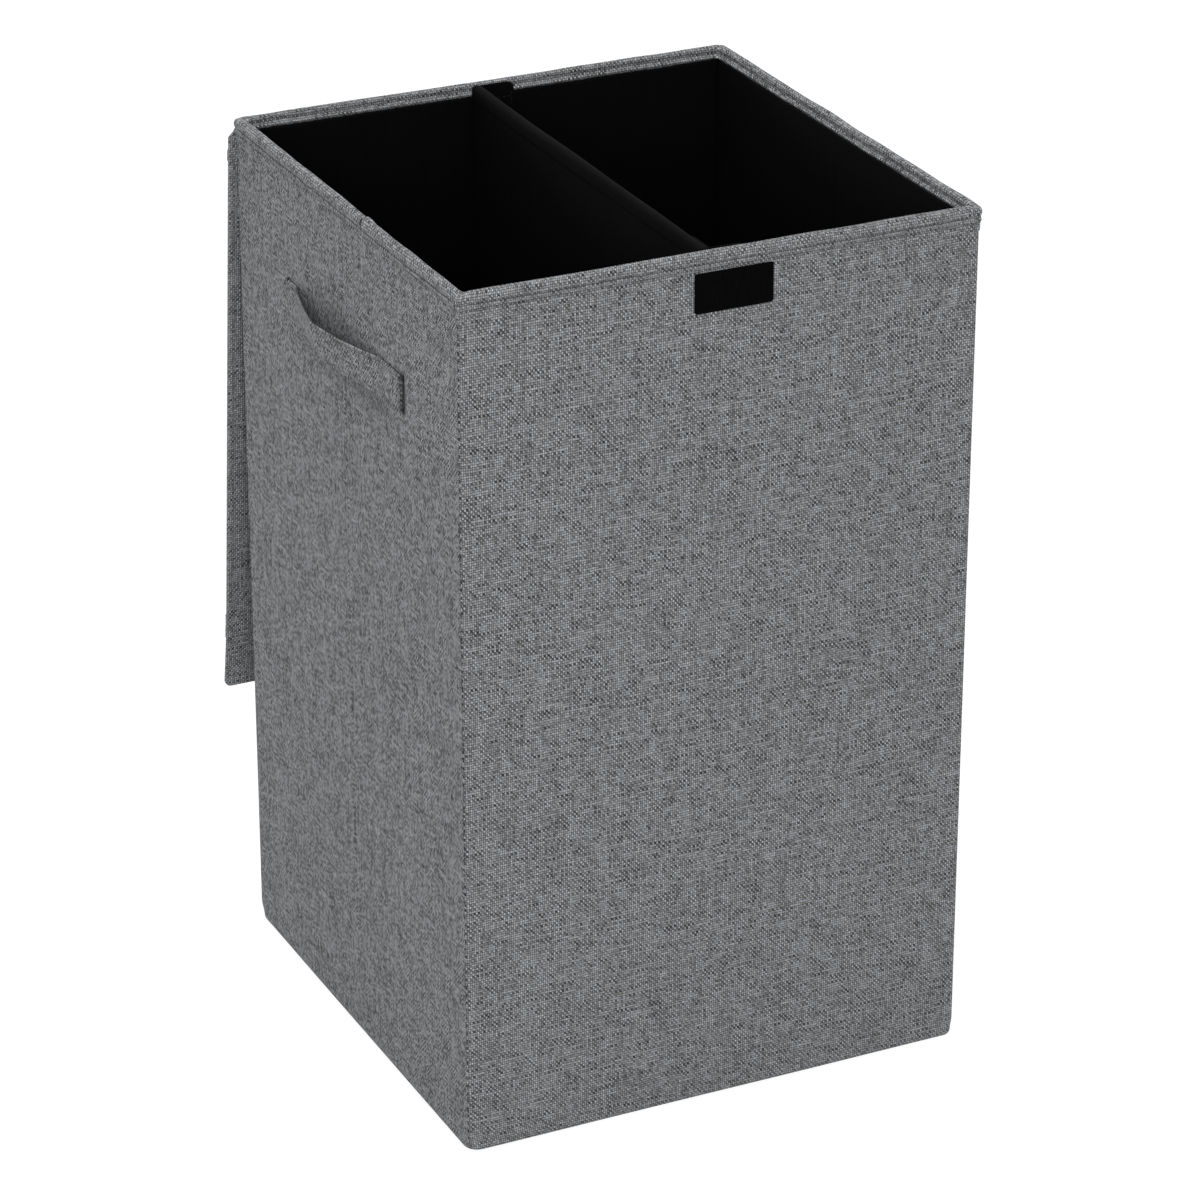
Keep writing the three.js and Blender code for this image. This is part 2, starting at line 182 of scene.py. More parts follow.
# %% [markdown]
# Shaders are graphs of nodes. Two short helpers keep the graphs below readable: one places a math
# node and wires what it is given, and one makes a node group with named sockets. A group is the
# way to use one effect in several materials, each with its own values.

# %% Helpers for node graphs


def wire(tree, value, socket):
    """Links a socket to another, or writes a plain value into it."""
    if isinstance(value, bpy.types.NodeSocket):
        tree.links.new(value, socket)
    else:
        socket.default_value = value


def calculate(tree, operation, *values):
    node = tree.nodes.new("ShaderNodeMath")
    node.operation = operation
    for value, socket in zip(values, node.inputs):
        wire(tree, value, socket)
    return node.outputs[0]


def noise(tree, vector, scale, detail=2.0, roughness=0.5):
    node = tree.nodes.new("ShaderNodeTexNoise")
    wire(tree, vector, node.inputs["Vector"])
    node.inputs["Scale"].default_value = scale
    node.inputs["Detail"].default_value = detail
    node.inputs["Roughness"].default_value = roughness
    return node


def combine(tree, x, y, z=0.0):
    node = tree.nodes.new("ShaderNodeCombineXYZ")
    for value, socket in zip((x, y, z), node.inputs):
        wire(tree, value, socket)
    return node.outputs[0]


def new_group(name, inputs, outputs):
    """A shader node group. inputs are (name, kind, value) and outputs are names of values."""
    tree = bpy.data.node_groups.new(name, "ShaderNodeTree")
    for label, kind, value in inputs:
        socket = tree.interface.new_socket(name=label, in_out="INPUT", socket_type=kind)
        if value is not None:
            socket.default_value = value
    for label in outputs:
        tree.interface.new_socket(name=label, in_out="OUTPUT", socket_type="NodeSocketFloat")
    return tree, tree.nodes.new("NodeGroupInput"), tree.nodes.new("NodeGroupOutput")


# %% [markdown]
# The cloth is a plain weave of thick, uneven yarns. Each yarn goes over one neighbour and under
# the next, so the surface is a checkerboard of little humps, upright ones and level ones. The
# weave could be drawn with Blender's brick or wave textures, but sums on the cloth's own
# coordinates give each yarn a number, and a numbered yarn can have its own shade along its length.
# Those long light and dark streaks, the slubs, are what makes it look like linen.

# %% The linen weave as a node group
yarn_wander = 2.1 * MM
wander_waves = 45.0
float_dip = 0.3
yarn_twist = 0.78
yarn_number_step = 7.31
fibre_waves = 2600.0


def build_linen_weave():
    tree, given, result = new_group(
        "linen_weave",
        [
            ("Cloth Place", "NodeSocketVector", None),
            ("Upright Pitch", "NodeSocketFloat", upright_pitch),
            ("Level Pitch", "NodeSocketFloat", level_pitch),
            ("Upright Slub", "NodeSocketFloat", 0.54),
            ("Level Slub", "NodeSocketFloat", 0.85),
            ("Upright Slub Length", "NodeSocketFloat", 17.0),
            ("Level Slub Length", "NodeSocketFloat", 7.1),
            ("Yarn Contrast", "NodeSocketFloat", 0.17),
            ("Slant", "NodeSocketFloat", 0.16),
            ("Fleck", "NodeSocketFloat", 0.44),
            ("Fibre", "NodeSocketFloat", 0.8),
        ],
        ["Height", "Tone", "Yarn"],
    )
    place = given.outputs["Cloth Place"]
    wander = noise(tree, place, wander_waves, 3.0, 0.55)
    shift = tree.nodes.new("ShaderNodeVectorMath")
    shift.operation = "MULTIPLY_ADD"
    wire(tree, wander.outputs["Color"], shift.inputs[0])
    shift.inputs[1].default_value = (yarn_wander, yarn_wander, 0)
    wire(tree, place, shift.inputs[2])
    split = tree.nodes.new("ShaderNodeSeparateXYZ")
    wire(tree, shift.outputs[0], split.inputs[0])

    across = calculate(tree, "DIVIDE", split.outputs[0], given.outputs["Upright Pitch"])
    along = calculate(tree, "DIVIDE", split.outputs[1], given.outputs["Level Pitch"])
    upright_yarn = calculate(tree, "FLOOR", across)
    level_yarn = calculate(tree, "FLOOR", along)
    both = calculate(tree, "ADD", upright_yarn, level_yarn)
    level_on_top = calculate(tree, "FLOORED_MODULO", both, 2.0)

    def weighted(value, weight):
        return calculate(tree, "MULTIPLY", calculate(tree, "SUBTRACT", value, 0.5), weight)

    def choose(upright, level):
        difference = calculate(tree, "SUBTRACT", level, upright)
        return calculate(tree, "MULTIPLY_ADD", difference, level_on_top, upright)

    def float_height(hump, other):
        dip = calculate(tree, "MULTIPLY_ADD", other, float_dip, 1 - float_dip)
        return calculate(tree, "MULTIPLY", hump, dip)

    share_across = calculate(tree, "FRACT", across)
    share_along = calculate(tree, "FRACT", along)
    hump_across = calculate(tree, "SINE", calculate(tree, "MULTIPLY", share_across, math.pi))
    hump_along = calculate(tree, "SINE", calculate(tree, "MULTIPLY", share_along, math.pi))
    height = choose(float_height(hump_across, hump_along), float_height(hump_along, hump_across))
    diagonal = calculate(tree, "SUBTRACT", calculate(tree, "ADD", share_across, share_along), 1.0)
    twist = calculate(tree, "MULTIPLY_ADD", calculate(tree, "ABSOLUTE", diagonal), -yarn_twist, 1.0)
    height = calculate(tree, "MULTIPLY", height, twist)

    def streak(number, way, length, plane):
        own_line = calculate(tree, "MULTIPLY", number, yarn_number_step)
        spot = combine(tree, own_line, calculate(tree, "DIVIDE", way, length), plane)
        return noise(tree, spot, 1.0, 0.0).outputs[0]

    upright_streak = streak(upright_yarn, along, given.outputs["Upright Slub Length"], plane=0.3)
    level_streak = streak(level_yarn, across, given.outputs["Level Slub Length"], plane=5.3)
    fleck = tree.nodes.new("ShaderNodeTexWhiteNoise")
    fleck.noise_dimensions = "2D"
    wire(tree, combine(tree, upright_yarn, level_yarn), fleck.inputs["Vector"])
    fibre = noise(tree, place, fibre_waves, 1.0)
    slant = calculate(
        tree, "COSINE", calculate(tree, "MULTIPLY", calculate(tree, "ADD", across, along), math.pi))

    tone = choose(
        weighted(upright_streak, given.outputs["Upright Slub"]),
        weighted(level_streak, given.outputs["Level Slub"]))
    for part in (
        weighted(calculate(tree, "SUBTRACT", 1.0, level_on_top), given.outputs["Yarn Contrast"]),
        weighted(calculate(tree, "MULTIPLY_ADD", slant, -0.5, 0.5), given.outputs["Slant"]),
        weighted(fleck.outputs[0], given.outputs["Fleck"]),
        weighted(fibre.outputs[0], given.outputs["Fibre"]),
    ):
        tone = calculate(tree, "ADD", tone, part)
    wire(tree, calculate(tree, "ADD", tone, 0.5), result.inputs["Tone"])
    wire(tree, height, result.inputs["Height"])
    wire(tree, fleck.outputs[0], result.inputs["Yarn"])
    return tree


linen_weave = build_linen_weave()
print("weave group outputs:", [s.name for s in linen_weave.interface.items_tree if s.in_out == "OUTPUT"])

# %% [markdown]
# The lining is a bonded cloth: fibres pressed flat in all directions, with a faint grain. Thread,
# tape and card share the same soft unevenness at other scales, so it is a group as well.

# %% Pressed fibres as a node group
grain_turn = math.radians(38)
grain_stretch = 0.09
grain_share = 0.7


def build_pressed_fibre():
    tree, given, result = new_group(
        "pressed_fibre",
        [
            ("Cloth Place", "NodeSocketVector", None),
            ("Fibre Scale", "NodeSocketFloat", 1500.0),
            ("Grain Scale", "NodeSocketFloat", 220.0),
        ],
        ["Height", "Tone"],
    )
    fibre = noise(tree, given.outputs["Cloth Place"], 1.0, 3.0, 0.6)
    wire(tree, given.outputs["Fibre Scale"], fibre.inputs["Scale"])
    stretch = tree.nodes.new("ShaderNodeMapping")
    wire(tree, given.outputs["Cloth Place"], stretch.inputs["Vector"])
    stretch.inputs["Rotation"].default_value = (0, 0, grain_turn)
    stretch.inputs["Scale"].default_value = (1.0, grain_stretch, 1.0)
    grain = noise(tree, stretch.outputs[0], 1.0, 2.0)
    wire(tree, given.outputs["Grain Scale"], grain.inputs["Scale"])
    height = calculate(tree, "MULTIPLY_ADD", grain.outputs[0], grain_share, fibre.outputs[0])
    wire(tree, height, result.inputs["Height"])
    wire(tree, grain.outputs[0], result.inputs["Tone"])
    return tree


pressed_fibre = build_pressed_fibre()
print("fibre group outputs:", [s.name for s in pressed_fibre.interface.items_tree if s.in_out == "OUTPUT"])

# %% [markdown]
# A material is then short: where on the cloth a point lies, a group that says what the surface
# does there, two colours to mix and a bump. The place comes from a UV map named Weave that every
# mesh below carries. It holds metres along and across the flat cloth, so the weave keeps its
# scale round each edge and fold, and it moves with the cloth when the lid swings. The side walls
# show their yarns more strongly than the front, and the straps most of all, so the same group is
# placed three times with different values.

# %% Materials
LINEN_DARK = (0.019, 0.02, 0.02, 1)
LINEN_LIGHT = (0.515, 0.53, 0.545, 1)
YARN_WARM = (1.03, 1.0, 0.96, 1)
YARN_COOL = (0.97, 1.0, 1.04, 1)
# Painted shade between the yarns: the colour is darkened in the low gaps and brightened on the raised
# floats, by the weave's height.
yarn_gap_shade = 0.18
painted_relief_shade = 1.3
weave_depth = 0.42 * MM
# Painted shade: how far marked places are mixed towards a near-black shade colour.
painted_shade_strength = 0.5
PAINTED_SHADE_COLOUR = (0.02, 0.02, 0.022, 1)
needle_pitch = 5.6 * MM
needle_share = 0.35
needle_unevenness = 1.7
needle_depth = 1.5
NEEDLE_HOLE = (0.012, 0.012, 0.014, 1)
LINING_DARK = (0.001, 0.001, 0.0011, 1)
LINING_LIGHT = (0.003, 0.003, 0.0032, 1)
PILE_DARK = (0.001, 0.001, 0.001, 1)
PILE_LIGHT = (0.0036, 0.0036, 0.0037, 1)
BOARD_DARK = (0.2, 0.17, 0.13, 1)
BOARD_LIGHT = (0.32, 0.29, 0.24, 1)
GREY_THREAD = ((0.16, 0.165, 0.17, 1), (0.3, 0.305, 0.31, 1))
BLACK_THREAD = ((0.004, 0.004, 0.004, 1), (0.01, 0.01, 0.0105, 1))


def start_material(name, roughness, specular):
    material = bpy.data.materials.new(name)
    material.use_nodes = True
    tree = material.node_tree
    shader = tree.nodes["Principled BSDF"]
    shader.inputs["Roughness"].default_value = roughness
    shader.inputs["Specular IOR Level"].default_value = specular
    return material, tree, shader


def mix_colours(tree, factor, first, second, kind="MIX"):
    node = tree.nodes.new("ShaderNodeMix")
    node.data_type = "RGBA"
    node.blend_type = kind
    wire(tree, factor, node.inputs[0])
    wire(tree, first, node.inputs[6])
    wire(tree, second, node.inputs[7])
    return node.outputs[2]


def bump(tree, shader, height, distance):
    node = tree.nodes.new("ShaderNodeBump")
    node.inputs["Strength"].default_value = 1.0
    node.inputs["Distance"].default_value = distance
    wire(tree, height, node.inputs["Height"])
    wire(tree, node.outputs[0], shader.inputs["Normal"])


def place_group(tree, group, **values):
    """Puts a group in a material, fed by the Weave map."""
    cloth_map = tree.nodes.new("ShaderNodeUVMap")
    cloth_map.uv_map = "Weave"
    node = tree.nodes.new("ShaderNodeGroup")
    node.node_tree = group
    wire(tree, cloth_map.outputs[0], node.inputs["Cloth Place"])
    for name, value in values.items():
        node.inputs[name.replace("_", " ")].default_value = value
    return node, cloth_map


def needle_holes(tree, cloth_map):
    """Uneven dots along the cloth where its mesh marks a seam."""
    seam = tree.nodes.new("ShaderNodeAttribute")
    seam.attribute_name = "seam"
    split = tree.nodes.new("ShaderNodeSeparateXYZ")
    wire(tree, cloth_map.outputs[0], split.inputs[0])
    turns = calculate(tree, "MULTIPLY", split.outputs[1], 2 * math.pi / needle_pitch)
    dots = calculate(tree, "GREATER_THAN", calculate(tree, "SINE", turns), needle_share)
    near = calculate(tree, "GREATER_THAN", seam.outputs["Fac"], 0.5)
    patches = noise(tree, cloth_map.outputs[0], 90.0, 0.0).outputs[0]
    uneven = calculate(tree, "MULTIPLY", patches, needle_unevenness)
    return calculate(tree, "MULTIPLY", calculate(tree, "MULTIPLY", dots, near), uneven)


def linen_material(name, marked, **values):
    """Grey linen-look cloth. If marked, it has painted shade where its mesh marks shade, and needle
    holes where its mesh marks a seam."""
    material, tree, shader = start_material(name, 0.92, 0.25)
    shader.inputs["Sheen Weight"].default_value = 0.08
    shader.inputs["Sheen Roughness"].default_value = 0.6
    weave, cloth_map = place_group(tree, linen_weave, **values)
    yarn = mix_colours(tree, weave.outputs["Tone"], LINEN_DARK, LINEN_LIGHT)
    tint = mix_colours(tree, weave.outputs["Yarn"], YARN_WARM, YARN_COOL)
    yarn = mix_colours(tree, 1.0, yarn, tint, "MULTIPLY")
    # Painted shade: the colour is multiplied by the weave's height, dark in the gaps between yarns, on top
    # of the bump.
    depth = calculate(tree, "MULTIPLY_ADD", weave.outputs["Height"], painted_relief_shade, yarn_gap_shade)
    shade = combine(tree, depth, depth, depth)
    colour = mix_colours(tree, 1.0, yarn, shade, "MULTIPLY")
    height = weave.outputs["Height"]
    if marked:
        # Painted shade: where the mesh marks it (grooves, crease, lap edge, strap ends, under the strap),
        # the colour is mixed towards near black.
        fold_and_painted_shade = tree.nodes.new("ShaderNodeAttribute")
        fold_and_painted_shade.attribute_name = "fold_and_painted_shade"
        in_painted_shade = calculate(tree, "MULTIPLY", fold_and_painted_shade.outputs["Fac"], painted_shade_strength)
        colour = mix_colours(tree, in_painted_shade, colour, PAINTED_SHADE_COLOUR)
        hole = needle_holes(tree, cloth_map)
        colour = mix_colours(tree, hole, colour, NEEDLE_HOLE)
        sunk = calculate(tree, "MULTIPLY", hole, needle_depth)
        height = calculate(tree, "SUBTRACT", height, sunk)
    wire(tree, colour, shader.inputs["Base Color"])
    bump(tree, shader, height, weave_depth)
    return material


def fibre_material(name, dark, light, roughness, specular, distance, **values):
    material, tree, shader = start_material(name, roughness, specular)
    fibre, _ = place_group(tree, pressed_fibre, **values)
    wire(tree, mix_colours(tree, fibre.outputs["Tone"], dark, light), shader.inputs["Base Color"])
    bump(tree, shader, fibre.outputs["Height"], distance)
    return material


cover_linen = linen_material("cover_linen", True)
side_linen = linen_material("side_linen", True, Fleck=0.68, Upright_Slub=0.85, Level_Slub=1.05)
plain_linen = linen_material("plain_linen", False)
strap_linen = linen_material("strap_linen", True, Fleck=0.75, Level_Slub=1.2, Yarn_Contrast=0.3)
lining_cloth = fibre_material("black_lining", LINING_DARK, LINING_LIGHT, 0.9, 0.06, 0.12 * MM)
loop_pile = fibre_material(
    "loop_pile", PILE_DARK, PILE_LIGHT, 1.0, 0.03, 0.5 * MM, Fibre_Scale=1100.0, Grain_Scale=900.0)
card = fibre_material("greyboard", BOARD_DARK, BOARD_LIGHT, 0.9, 0.2, 0.1 * MM, Grain_Scale=90.0)
grey_thread = fibre_material("grey_thread", *GREY_THREAD, 0.7, 0.3, 0.05 * MM)
black_thread = fibre_material("black_thread", *BLACK_THREAD, 0.7, 0.15, 0.05 * MM)
print("materials:", [m.name for m in bpy.data.materials])

# %% [markdown]
# A sheet of cloth is a grid of points. Working out a whole grid at once with arrays is quick and
# exact, where dragging points by hand would have to be done again for each wall. The next helpers
# turn a grid into a mesh with its Weave map, give it thickness, and draw smooth paths.

# %% Helpers for cloth meshes


def travel(points):
    """How far along a path each of its points lies."""
    gaps = np.linalg.norm(np.diff(points, axis=0), axis=1)
    return np.concatenate([[0], np.cumsum(gaps)])


def spaced(points, step):
    """Points at even distances along a path."""
    travelled = travel(points)
    count = max(2, int(round(travelled[-1] / step)) + 1)
    stops = np.linspace(0, travelled[-1], count)
    return np.column_stack([np.interp(stops, travelled, axis) for axis in points.T])


def smooth_path(points, step):
    """A path with rounded bends through a few points."""
    given = np.asarray(points, float)
    padded = np.vstack([2 * given[0] - given[1], given, 2 * given[-1] - given[-2]])
    t = np.linspace(0, 1, 12, endpoint=False)[:, None]
    fine = []
    for a, b, c, d in zip(padded, padded[1:], padded[2:], padded[3:]):
        fine.append(0.5 * (
            2 * b + (c - a) * t + (2 * a - 5 * b + 4 * c - d) * t**2 + (3 * b - a - 3 * c + d) * t**3))
    return spaced(np.vstack(fine + [given[-1:]]), step)


def cloth_mesh(name, places, weave, material, skip=None, attributes=None):
    """A mesh from a grid of places (rows, columns, 3) and their places on the flat cloth."""
    rows, columns = places.shape[:2]
    index = np.arange(rows * columns).reshape(rows, columns)
    quads = np.stack([index[:-1, :-1], index[1:, :-1], index[1:, 1:], index[:-1, 1:]], axis=-1)
    quads = quads.reshape(-1, 4) if skip is None else quads[~skip]
    mesh = bpy.data.meshes.new(name)
    mesh.from_pydata(places.reshape(-1, 3).tolist(), [], quads.tolist())
    cloth_map = mesh.uv_layers.new(name="Weave")
    cloth_map.data.foreach_set("uv", weave.reshape(-1, 2)[quads.ravel()].astype(np.float32).ravel())
    for label, values in (attributes or {}).items():
        attribute = mesh.attributes.new(label, "FLOAT", "POINT")
        attribute.data.foreach_set("value", values.astype(np.float32).ravel())
    mesh.shade_smooth()
    mesh.materials.append(material)
    piece = bpy.data.objects.new(name, mesh)
    bpy.context.scene.collection.objects.link(piece)
    return piece


def thicken(piece, thickness):
    """Gives a sheet its thickness, behind the side that shows."""
    solidify = piece.modifiers.new("thickness", "SOLIDIFY")
    solidify.thickness = thickness
    solidify.offset = -1
    solidify.use_rim = True
    return piece


def swell(x, y, wavelength, seed):
    """A smooth unevenness between -1 and 1 that is the same at each run."""
    draw = np.random.default_rng(seed)
    total = 0 * (x + y)
    waves = 5
    for _ in range(waves):
        turn, phase = draw.uniform(0, 2 * math.pi, 2)
        rate = 2 * math.pi / wavelength * draw.uniform(0.6, 1.5)
        total = total + np.sin(rate * (x * math.cos(turn) + y * math.sin(turn)) + phase)
    return total / waves


def bell(distance, width):
    """1 at no distance, falling to nothing over a few widths."""
    return np.exp(-((distance / width) ** 2))


def rise(value, low, high):
    """0 below low and 1 above high, with a soft ramp between them."""
    share = np.clip((value - low) / (high - low), 0, 1)
    return share * share * (3 - 2 * share)


# %% [markdown]
# Seams are what makes sewn work look sewn. A topstitch is a row of short threads that come out of
# the cloth and go back in. Each is a small capsule bent down at its ends, and a row of them is
# one mesh: as real shape they catch the light, where a painted line would stay flat.

# %% Rows of stitches
thread_radius = 0.28 * MM
STITCH_RINGS = [
    (-0.5, 0.35, -0.8), (-0.36, 0.9, -0.1), (0.0, 1.0, 0.35), (0.36, 0.9, -0.1), (0.5, 0.35, -0.8),
]
STITCH_SIDES = 6


def stitch_row(name, path, normals, material, pitch=stitch_pitch, fill=0.78, radius=thread_radius):
    """Stitches along a path of points on a surface, each with the surface's normal there."""
    path = np.asarray(path, float)
    normals = np.broadcast_to(np.asarray(normals, float), path.shape)
    travelled = travel(path)
    count = max(1, int(travelled[-1] / pitch))
    middles = (np.arange(count) + 0.5) * travelled[-1] / count

    def read(values, stops):
        return np.column_stack([np.interp(stops, travelled, axis) for axis in values.T])

    centre = read(path, middles)
    reach = pitch * 0.2
    run = read(path, middles + reach) - read(path, middles - reach)
    run /= np.linalg.norm(run, axis=1)[:, None]
    up = read(normals, middles)
    up -= (up * run).sum(axis=1)[:, None] * run
    up /= np.linalg.norm(up, axis=1)[:, None]
    side = np.cross(run, up)
    turns = np.arange(STITCH_SIDES) * 2 * math.pi / STITCH_SIDES
    points = []
    for along, thick, lift in STITCH_RINGS:
        ring = centre + along * pitch * fill * run + lift * radius * up
        for turn in turns:
            points.append(ring + thick * radius * (math.cos(turn) * side + math.sin(turn) * up))
    points = np.stack(points, axis=1).reshape(-1, 3)
    faces = []
    for ring in range(len(STITCH_RINGS) - 1):
        for k in range(STITCH_SIDES):
            here = ring * STITCH_SIDES + k
            after = ring * STITCH_SIDES + (k + 1) % STITCH_SIDES
            faces.append([here, after, after + STITCH_SIDES, here + STITCH_SIDES])
    per_stitch = len(STITCH_RINGS) * STITCH_SIDES
    faces.append(list(range(STITCH_SIDES))[::-1])
    faces.append(list(range(per_stitch - STITCH_SIDES, per_stitch)))
    every = [[corner + k * per_stitch for corner in face] for k in range(count) for face in faces]
    mesh = bpy.data.meshes.new(name)
    mesh.from_pydata(points.tolist(), [], every)
    cloth_map = mesh.uv_layers.new(name="Weave")
    corners = np.zeros(len(mesh.loops), np.int32)
    mesh.loops.foreach_get("vertex_index", corners)
    cloth_map.data.foreach_set("uv", points[corners][:, [0, 2]].astype(np.float32).ravel())
    mesh.shade_smooth()
    mesh.materials.append(material)
    piece = bpy.data.objects.new(name, mesh)
    bpy.context.scene.collection.objects.link(piece)
    return piece


# %% [markdown]
# The four walls are alike, so each is described in its own terms: how far along the wall, how deep
# inwards from its outer face, and how high. One function turns that into places in the frame.

# %% Places on a wall
WALLS = {
    "front": ((0, -half_depth), (1, 0), (0, 1), half_width),
    "right": ((half_width, 0), (0, 1), (-1, 0), half_depth),
    "back": ((0, half_depth), (-1, 0), (0, -1), half_width),
    "left": ((-half_width, 0), (0, -1), (1, 0), half_depth),
}


def on_wall(name, along, depth, height):
    origin, run, inward, _ = WALLS[name]
    along, depth, height = np.broadcast_arrays(along, depth, height)
    x = origin[0] + run[0] * along + inward[0] * depth
    y = origin[1] + run[1] * along + inward[1] * depth
    return np.stack([x, y, height], axis=-1)


def wall_direction(name, along, depth, height):
    """A direction on a wall, as a direction in the frame."""
    _, run, inward, _ = WALLS[name]
    return (run[0] * along + inward[0] * depth, run[1] * along + inward[1] * depth, height)


# %% [markdown]
# A wall's cover goes down inside the rim as a hem, over the rim, down the outside and round the
# foot. Its section is drawn once as a path. In the photograph the rim is a soft roll that stands
# slightly proud of the wall, with a stitched groove below it outside and a puckered ridge inside,
# where the lining is sewn on.

# %% The cover's section
HEM_OUTLINE_MM = [
    (4.9, 19.0), (4.9, 9.8), (5.7, 8.5), (6.7, 7.5), (6.5, 6.3), (5.3, 5.1), (4.9, 3.8), (5.4, 2.3),
    (4.9, 0.8), (3.4, -0.2), (1.5, -0.1), (0.0, 0.8), (-0.7, 2.6), (-0.8, 4.8), (-0.4, 6.3),
    (0.2, 7.2), (-0.35, 8.0), (-0.6, 9.0), (-0.4, 10.0), (0.35, 11.0), (-0.1, 12.2), (-0.1, 15.0),
    (0.0, 19.0),
]
hem_step = 0.55 * MM
hem_end = 19 * MM
stitch_drop = 9.0 * MM
groove_drops = (7.2 * MM, 11.0 * MM)
ridge_drop = 7.2 * MM
foot_radius = 5 * MM
foot_lap = 16 * MM
lap_height = 1.7 * MM
wall_step = 11 * MM
corner_zone = 15 * MM


def cover_path(extra_heights):
    """Depth and height of the cover's section, from the hem's inner end to the lap underneath."""
    hem = smooth_path(HEM_OUTLINE_MM, hem_step / MM) * MM
    hem = np.column_stack([hem[:, 0], rim_height - hem[:, 1]])
    top = rim_height - hem_end
    upper = np.linspace(top, corner_zone, int((top - corner_zone) / wall_step))[1:]
    lower = np.linspace(corner_zone, foot_radius, 12)[1:]
    heights = np.unique(np.concatenate([upper, lower, extra_heights]))[::-1]
    wall = np.column_stack([0 * heights, heights])
    turns = np.radians(np.linspace(180, 270, 8))[1:]
    foot = foot_radius * np.column_stack([1 + np.cos(turns), 1 + np.sin(turns)])
    lap = np.array([
        [foot_radius + 2.2 * MM, 0.2 * MM], [foot_radius + 3.6 * MM, lap_height], [foot_lap, lap_height]])
    return np.vstack([hem, wall, foot, lap])


print("points in the section:", len(cover_path([])))

# %% [markdown]
# Across the wall, the cloth runs flat to the corner, turns through half of the corner's rounding
# and dives into the seam, where it meets the next wall's cloth doing the same. The rounding is
# tight at the side seams and wider at the foot, where a sewn corner can't fill out. No two of the
# four feet are alike: the near one is the roundest.

# %% How the cloth turns into a corner seam
corner_radius = 2.4 * MM
FOOT_CORNERS_MM = {"front": (10, 5), "right": (5, 6.5), "back": (6.5, 8), "left": (8, 10)}
seam_tuck = 0.5 * MM


def corner_turn(q, radius, tuck):
    """How far a point at q from the seam's end lies from the corner, along the wall and inwards."""
    arc = radius * math.pi / 4
    angle = np.clip((tuck + arc - q) / radius, 0, math.pi / 4)
    dive = np.clip(tuck - q, 0, None) / math.sqrt(2)
    flat = np.clip(q - tuck - arc, 0, None)
    back = radius * (1 - np.sin(angle)) + flat + dive
    inwards = radius * (1 - np.cos(angle)) + dive
    return back, inwards


def columns_for(half, step, extra=()):
    """Distances from the wall's middle to its columns, closer together near the seams."""
    near_seam = np.array([0, 0.4, 0.8, 1.2, 1.6, 2.0, 2.5, 3.1, 3.9, 5.0]) * MM
    end = half - near_seam
    count = int((half - near_seam[-1]) / step)
    inner = np.linspace(0, half - near_seam[-1], count + 1)[1:-1]
    one_side = np.unique(np.concatenate([[0], inner, end]))
    columns = np.unique(np.concatenate([-one_side, one_side]))
    for value in extra:
        columns = columns[abs(columns - value) > 0.45 * MM]
    return np.unique(np.concatenate([columns, extra]))


# %% [markdown]
# A cover is a grid of points: its rows go down the section, and its columns go along the wall. The
# columns stand closer together at the corner seams, at the slits for the handle and at the lap in
# the rim, because small shapes need more points than a flat wall does.

# %% The grid of a wall cover
slit_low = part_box("left_handle")[0].z - 0.4 * MM
slit_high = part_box("left_handle")[1].z + 0.4 * MM
handle_reach = 94 * MM
slit_half = 1.4 * MM
rim_lap_place = 35 * MM
UNDER_STRAP_MM = (3, 6, 9, 12, 15, 18, 21)
RIM_LAP_STEPS_MM = (-3.3, -2.3, -1.6, -1.1, -0.6, -0.1, 0.25, 0.8)


def slit_edges(name):
    if name not in ("left", "right"):
        return []
    return [side * handle_reach + edge for side in (-1, 1) for edge in (-slit_half, slit_half)]


def cover_grid(name):
    """The rows and columns of one cover, and how its cloth turns into the corner seams."""
    g = SimpleNamespace(half=WALLS[name][3], slits=slit_edges(name))
    under_strap = [slit_low - step * MM for step in UNDER_STRAP_MM]
    g.path = cover_path([slit_low, slit_high] + under_strap if g.slits else [])
    g.depth, g.height = g.path[:, 0][:, None], g.path[:, 1][:, None]
    g.drop = rim_height - g.height
    tangent = np.gradient(g.path, axis=0)
    tangent /= np.linalg.norm(tangent, axis=1)[:, None]
    g.out_depth, g.out_height = tangent[:, 1][:, None], -tangent[:, 0][:, None]
    travelled = travel(g.path)
    first_wall_row = int(np.argmax(g.path[:, 1] <= rim_height - hem_end + 1e-6))
    g.cloth_up = (travelled[first_wall_row] + g.path[first_wall_row, 1] - travelled)[:, None]

    lap_columns = [rim_lap_place + step * MM for step in RIM_LAP_STEPS_MM]
    extra_columns = g.slits + (lap_columns if name == "left" else [])
    g.along = columns_for(g.half, stitch_pitch / 2, extra_columns)[None, :]
    g.from_end = g.half - abs(g.along)
    g.inner = np.clip(g.out_depth, 0, 1) * (g.height > rim_height / 2)
    g.outside = np.clip(-g.out_depth, 0, 1)
    g.crown = np.clip(g.out_height, 0, 1)
    g.on_hem = rise(hem_end - g.drop, 0, 4 * MM)
    g.below_hem = rise(g.drop, groove_drops[1], groove_drops[1] + 2 * MM)
    g.away = rise(g.from_end, 0, 18 * MM)
    g.grooves = sum(bell(g.drop - groove, 0.65 * MM) for groove in groove_drops)

    low = rise(corner_zone - g.height, 0, corner_zone - foot_radius)
    foot_corner = np.where(g.along < 0, *FOOT_CORNERS_MM[name]) * MM
    radius = corner_radius + (foot_corner - corner_radius) * low
    radius = radius * (1 + 0.5 * g.inner) - np.clip(g.depth, 0, None) * low * 0.6
    radius = np.clip(radius, 0.3 * MM, None)
    tuck = seam_tuck * (1 - g.inner) * g.below_hem
    middle = tuck + radius * math.pi / 4 + g.half - g.depth - radius
    back, g.inwards = corner_turn(g.from_end * middle / g.half, radius, tuck)
    g.u = np.where(g.along == 0, 0, np.sign(g.along) * (g.half - g.depth - back))
    return g


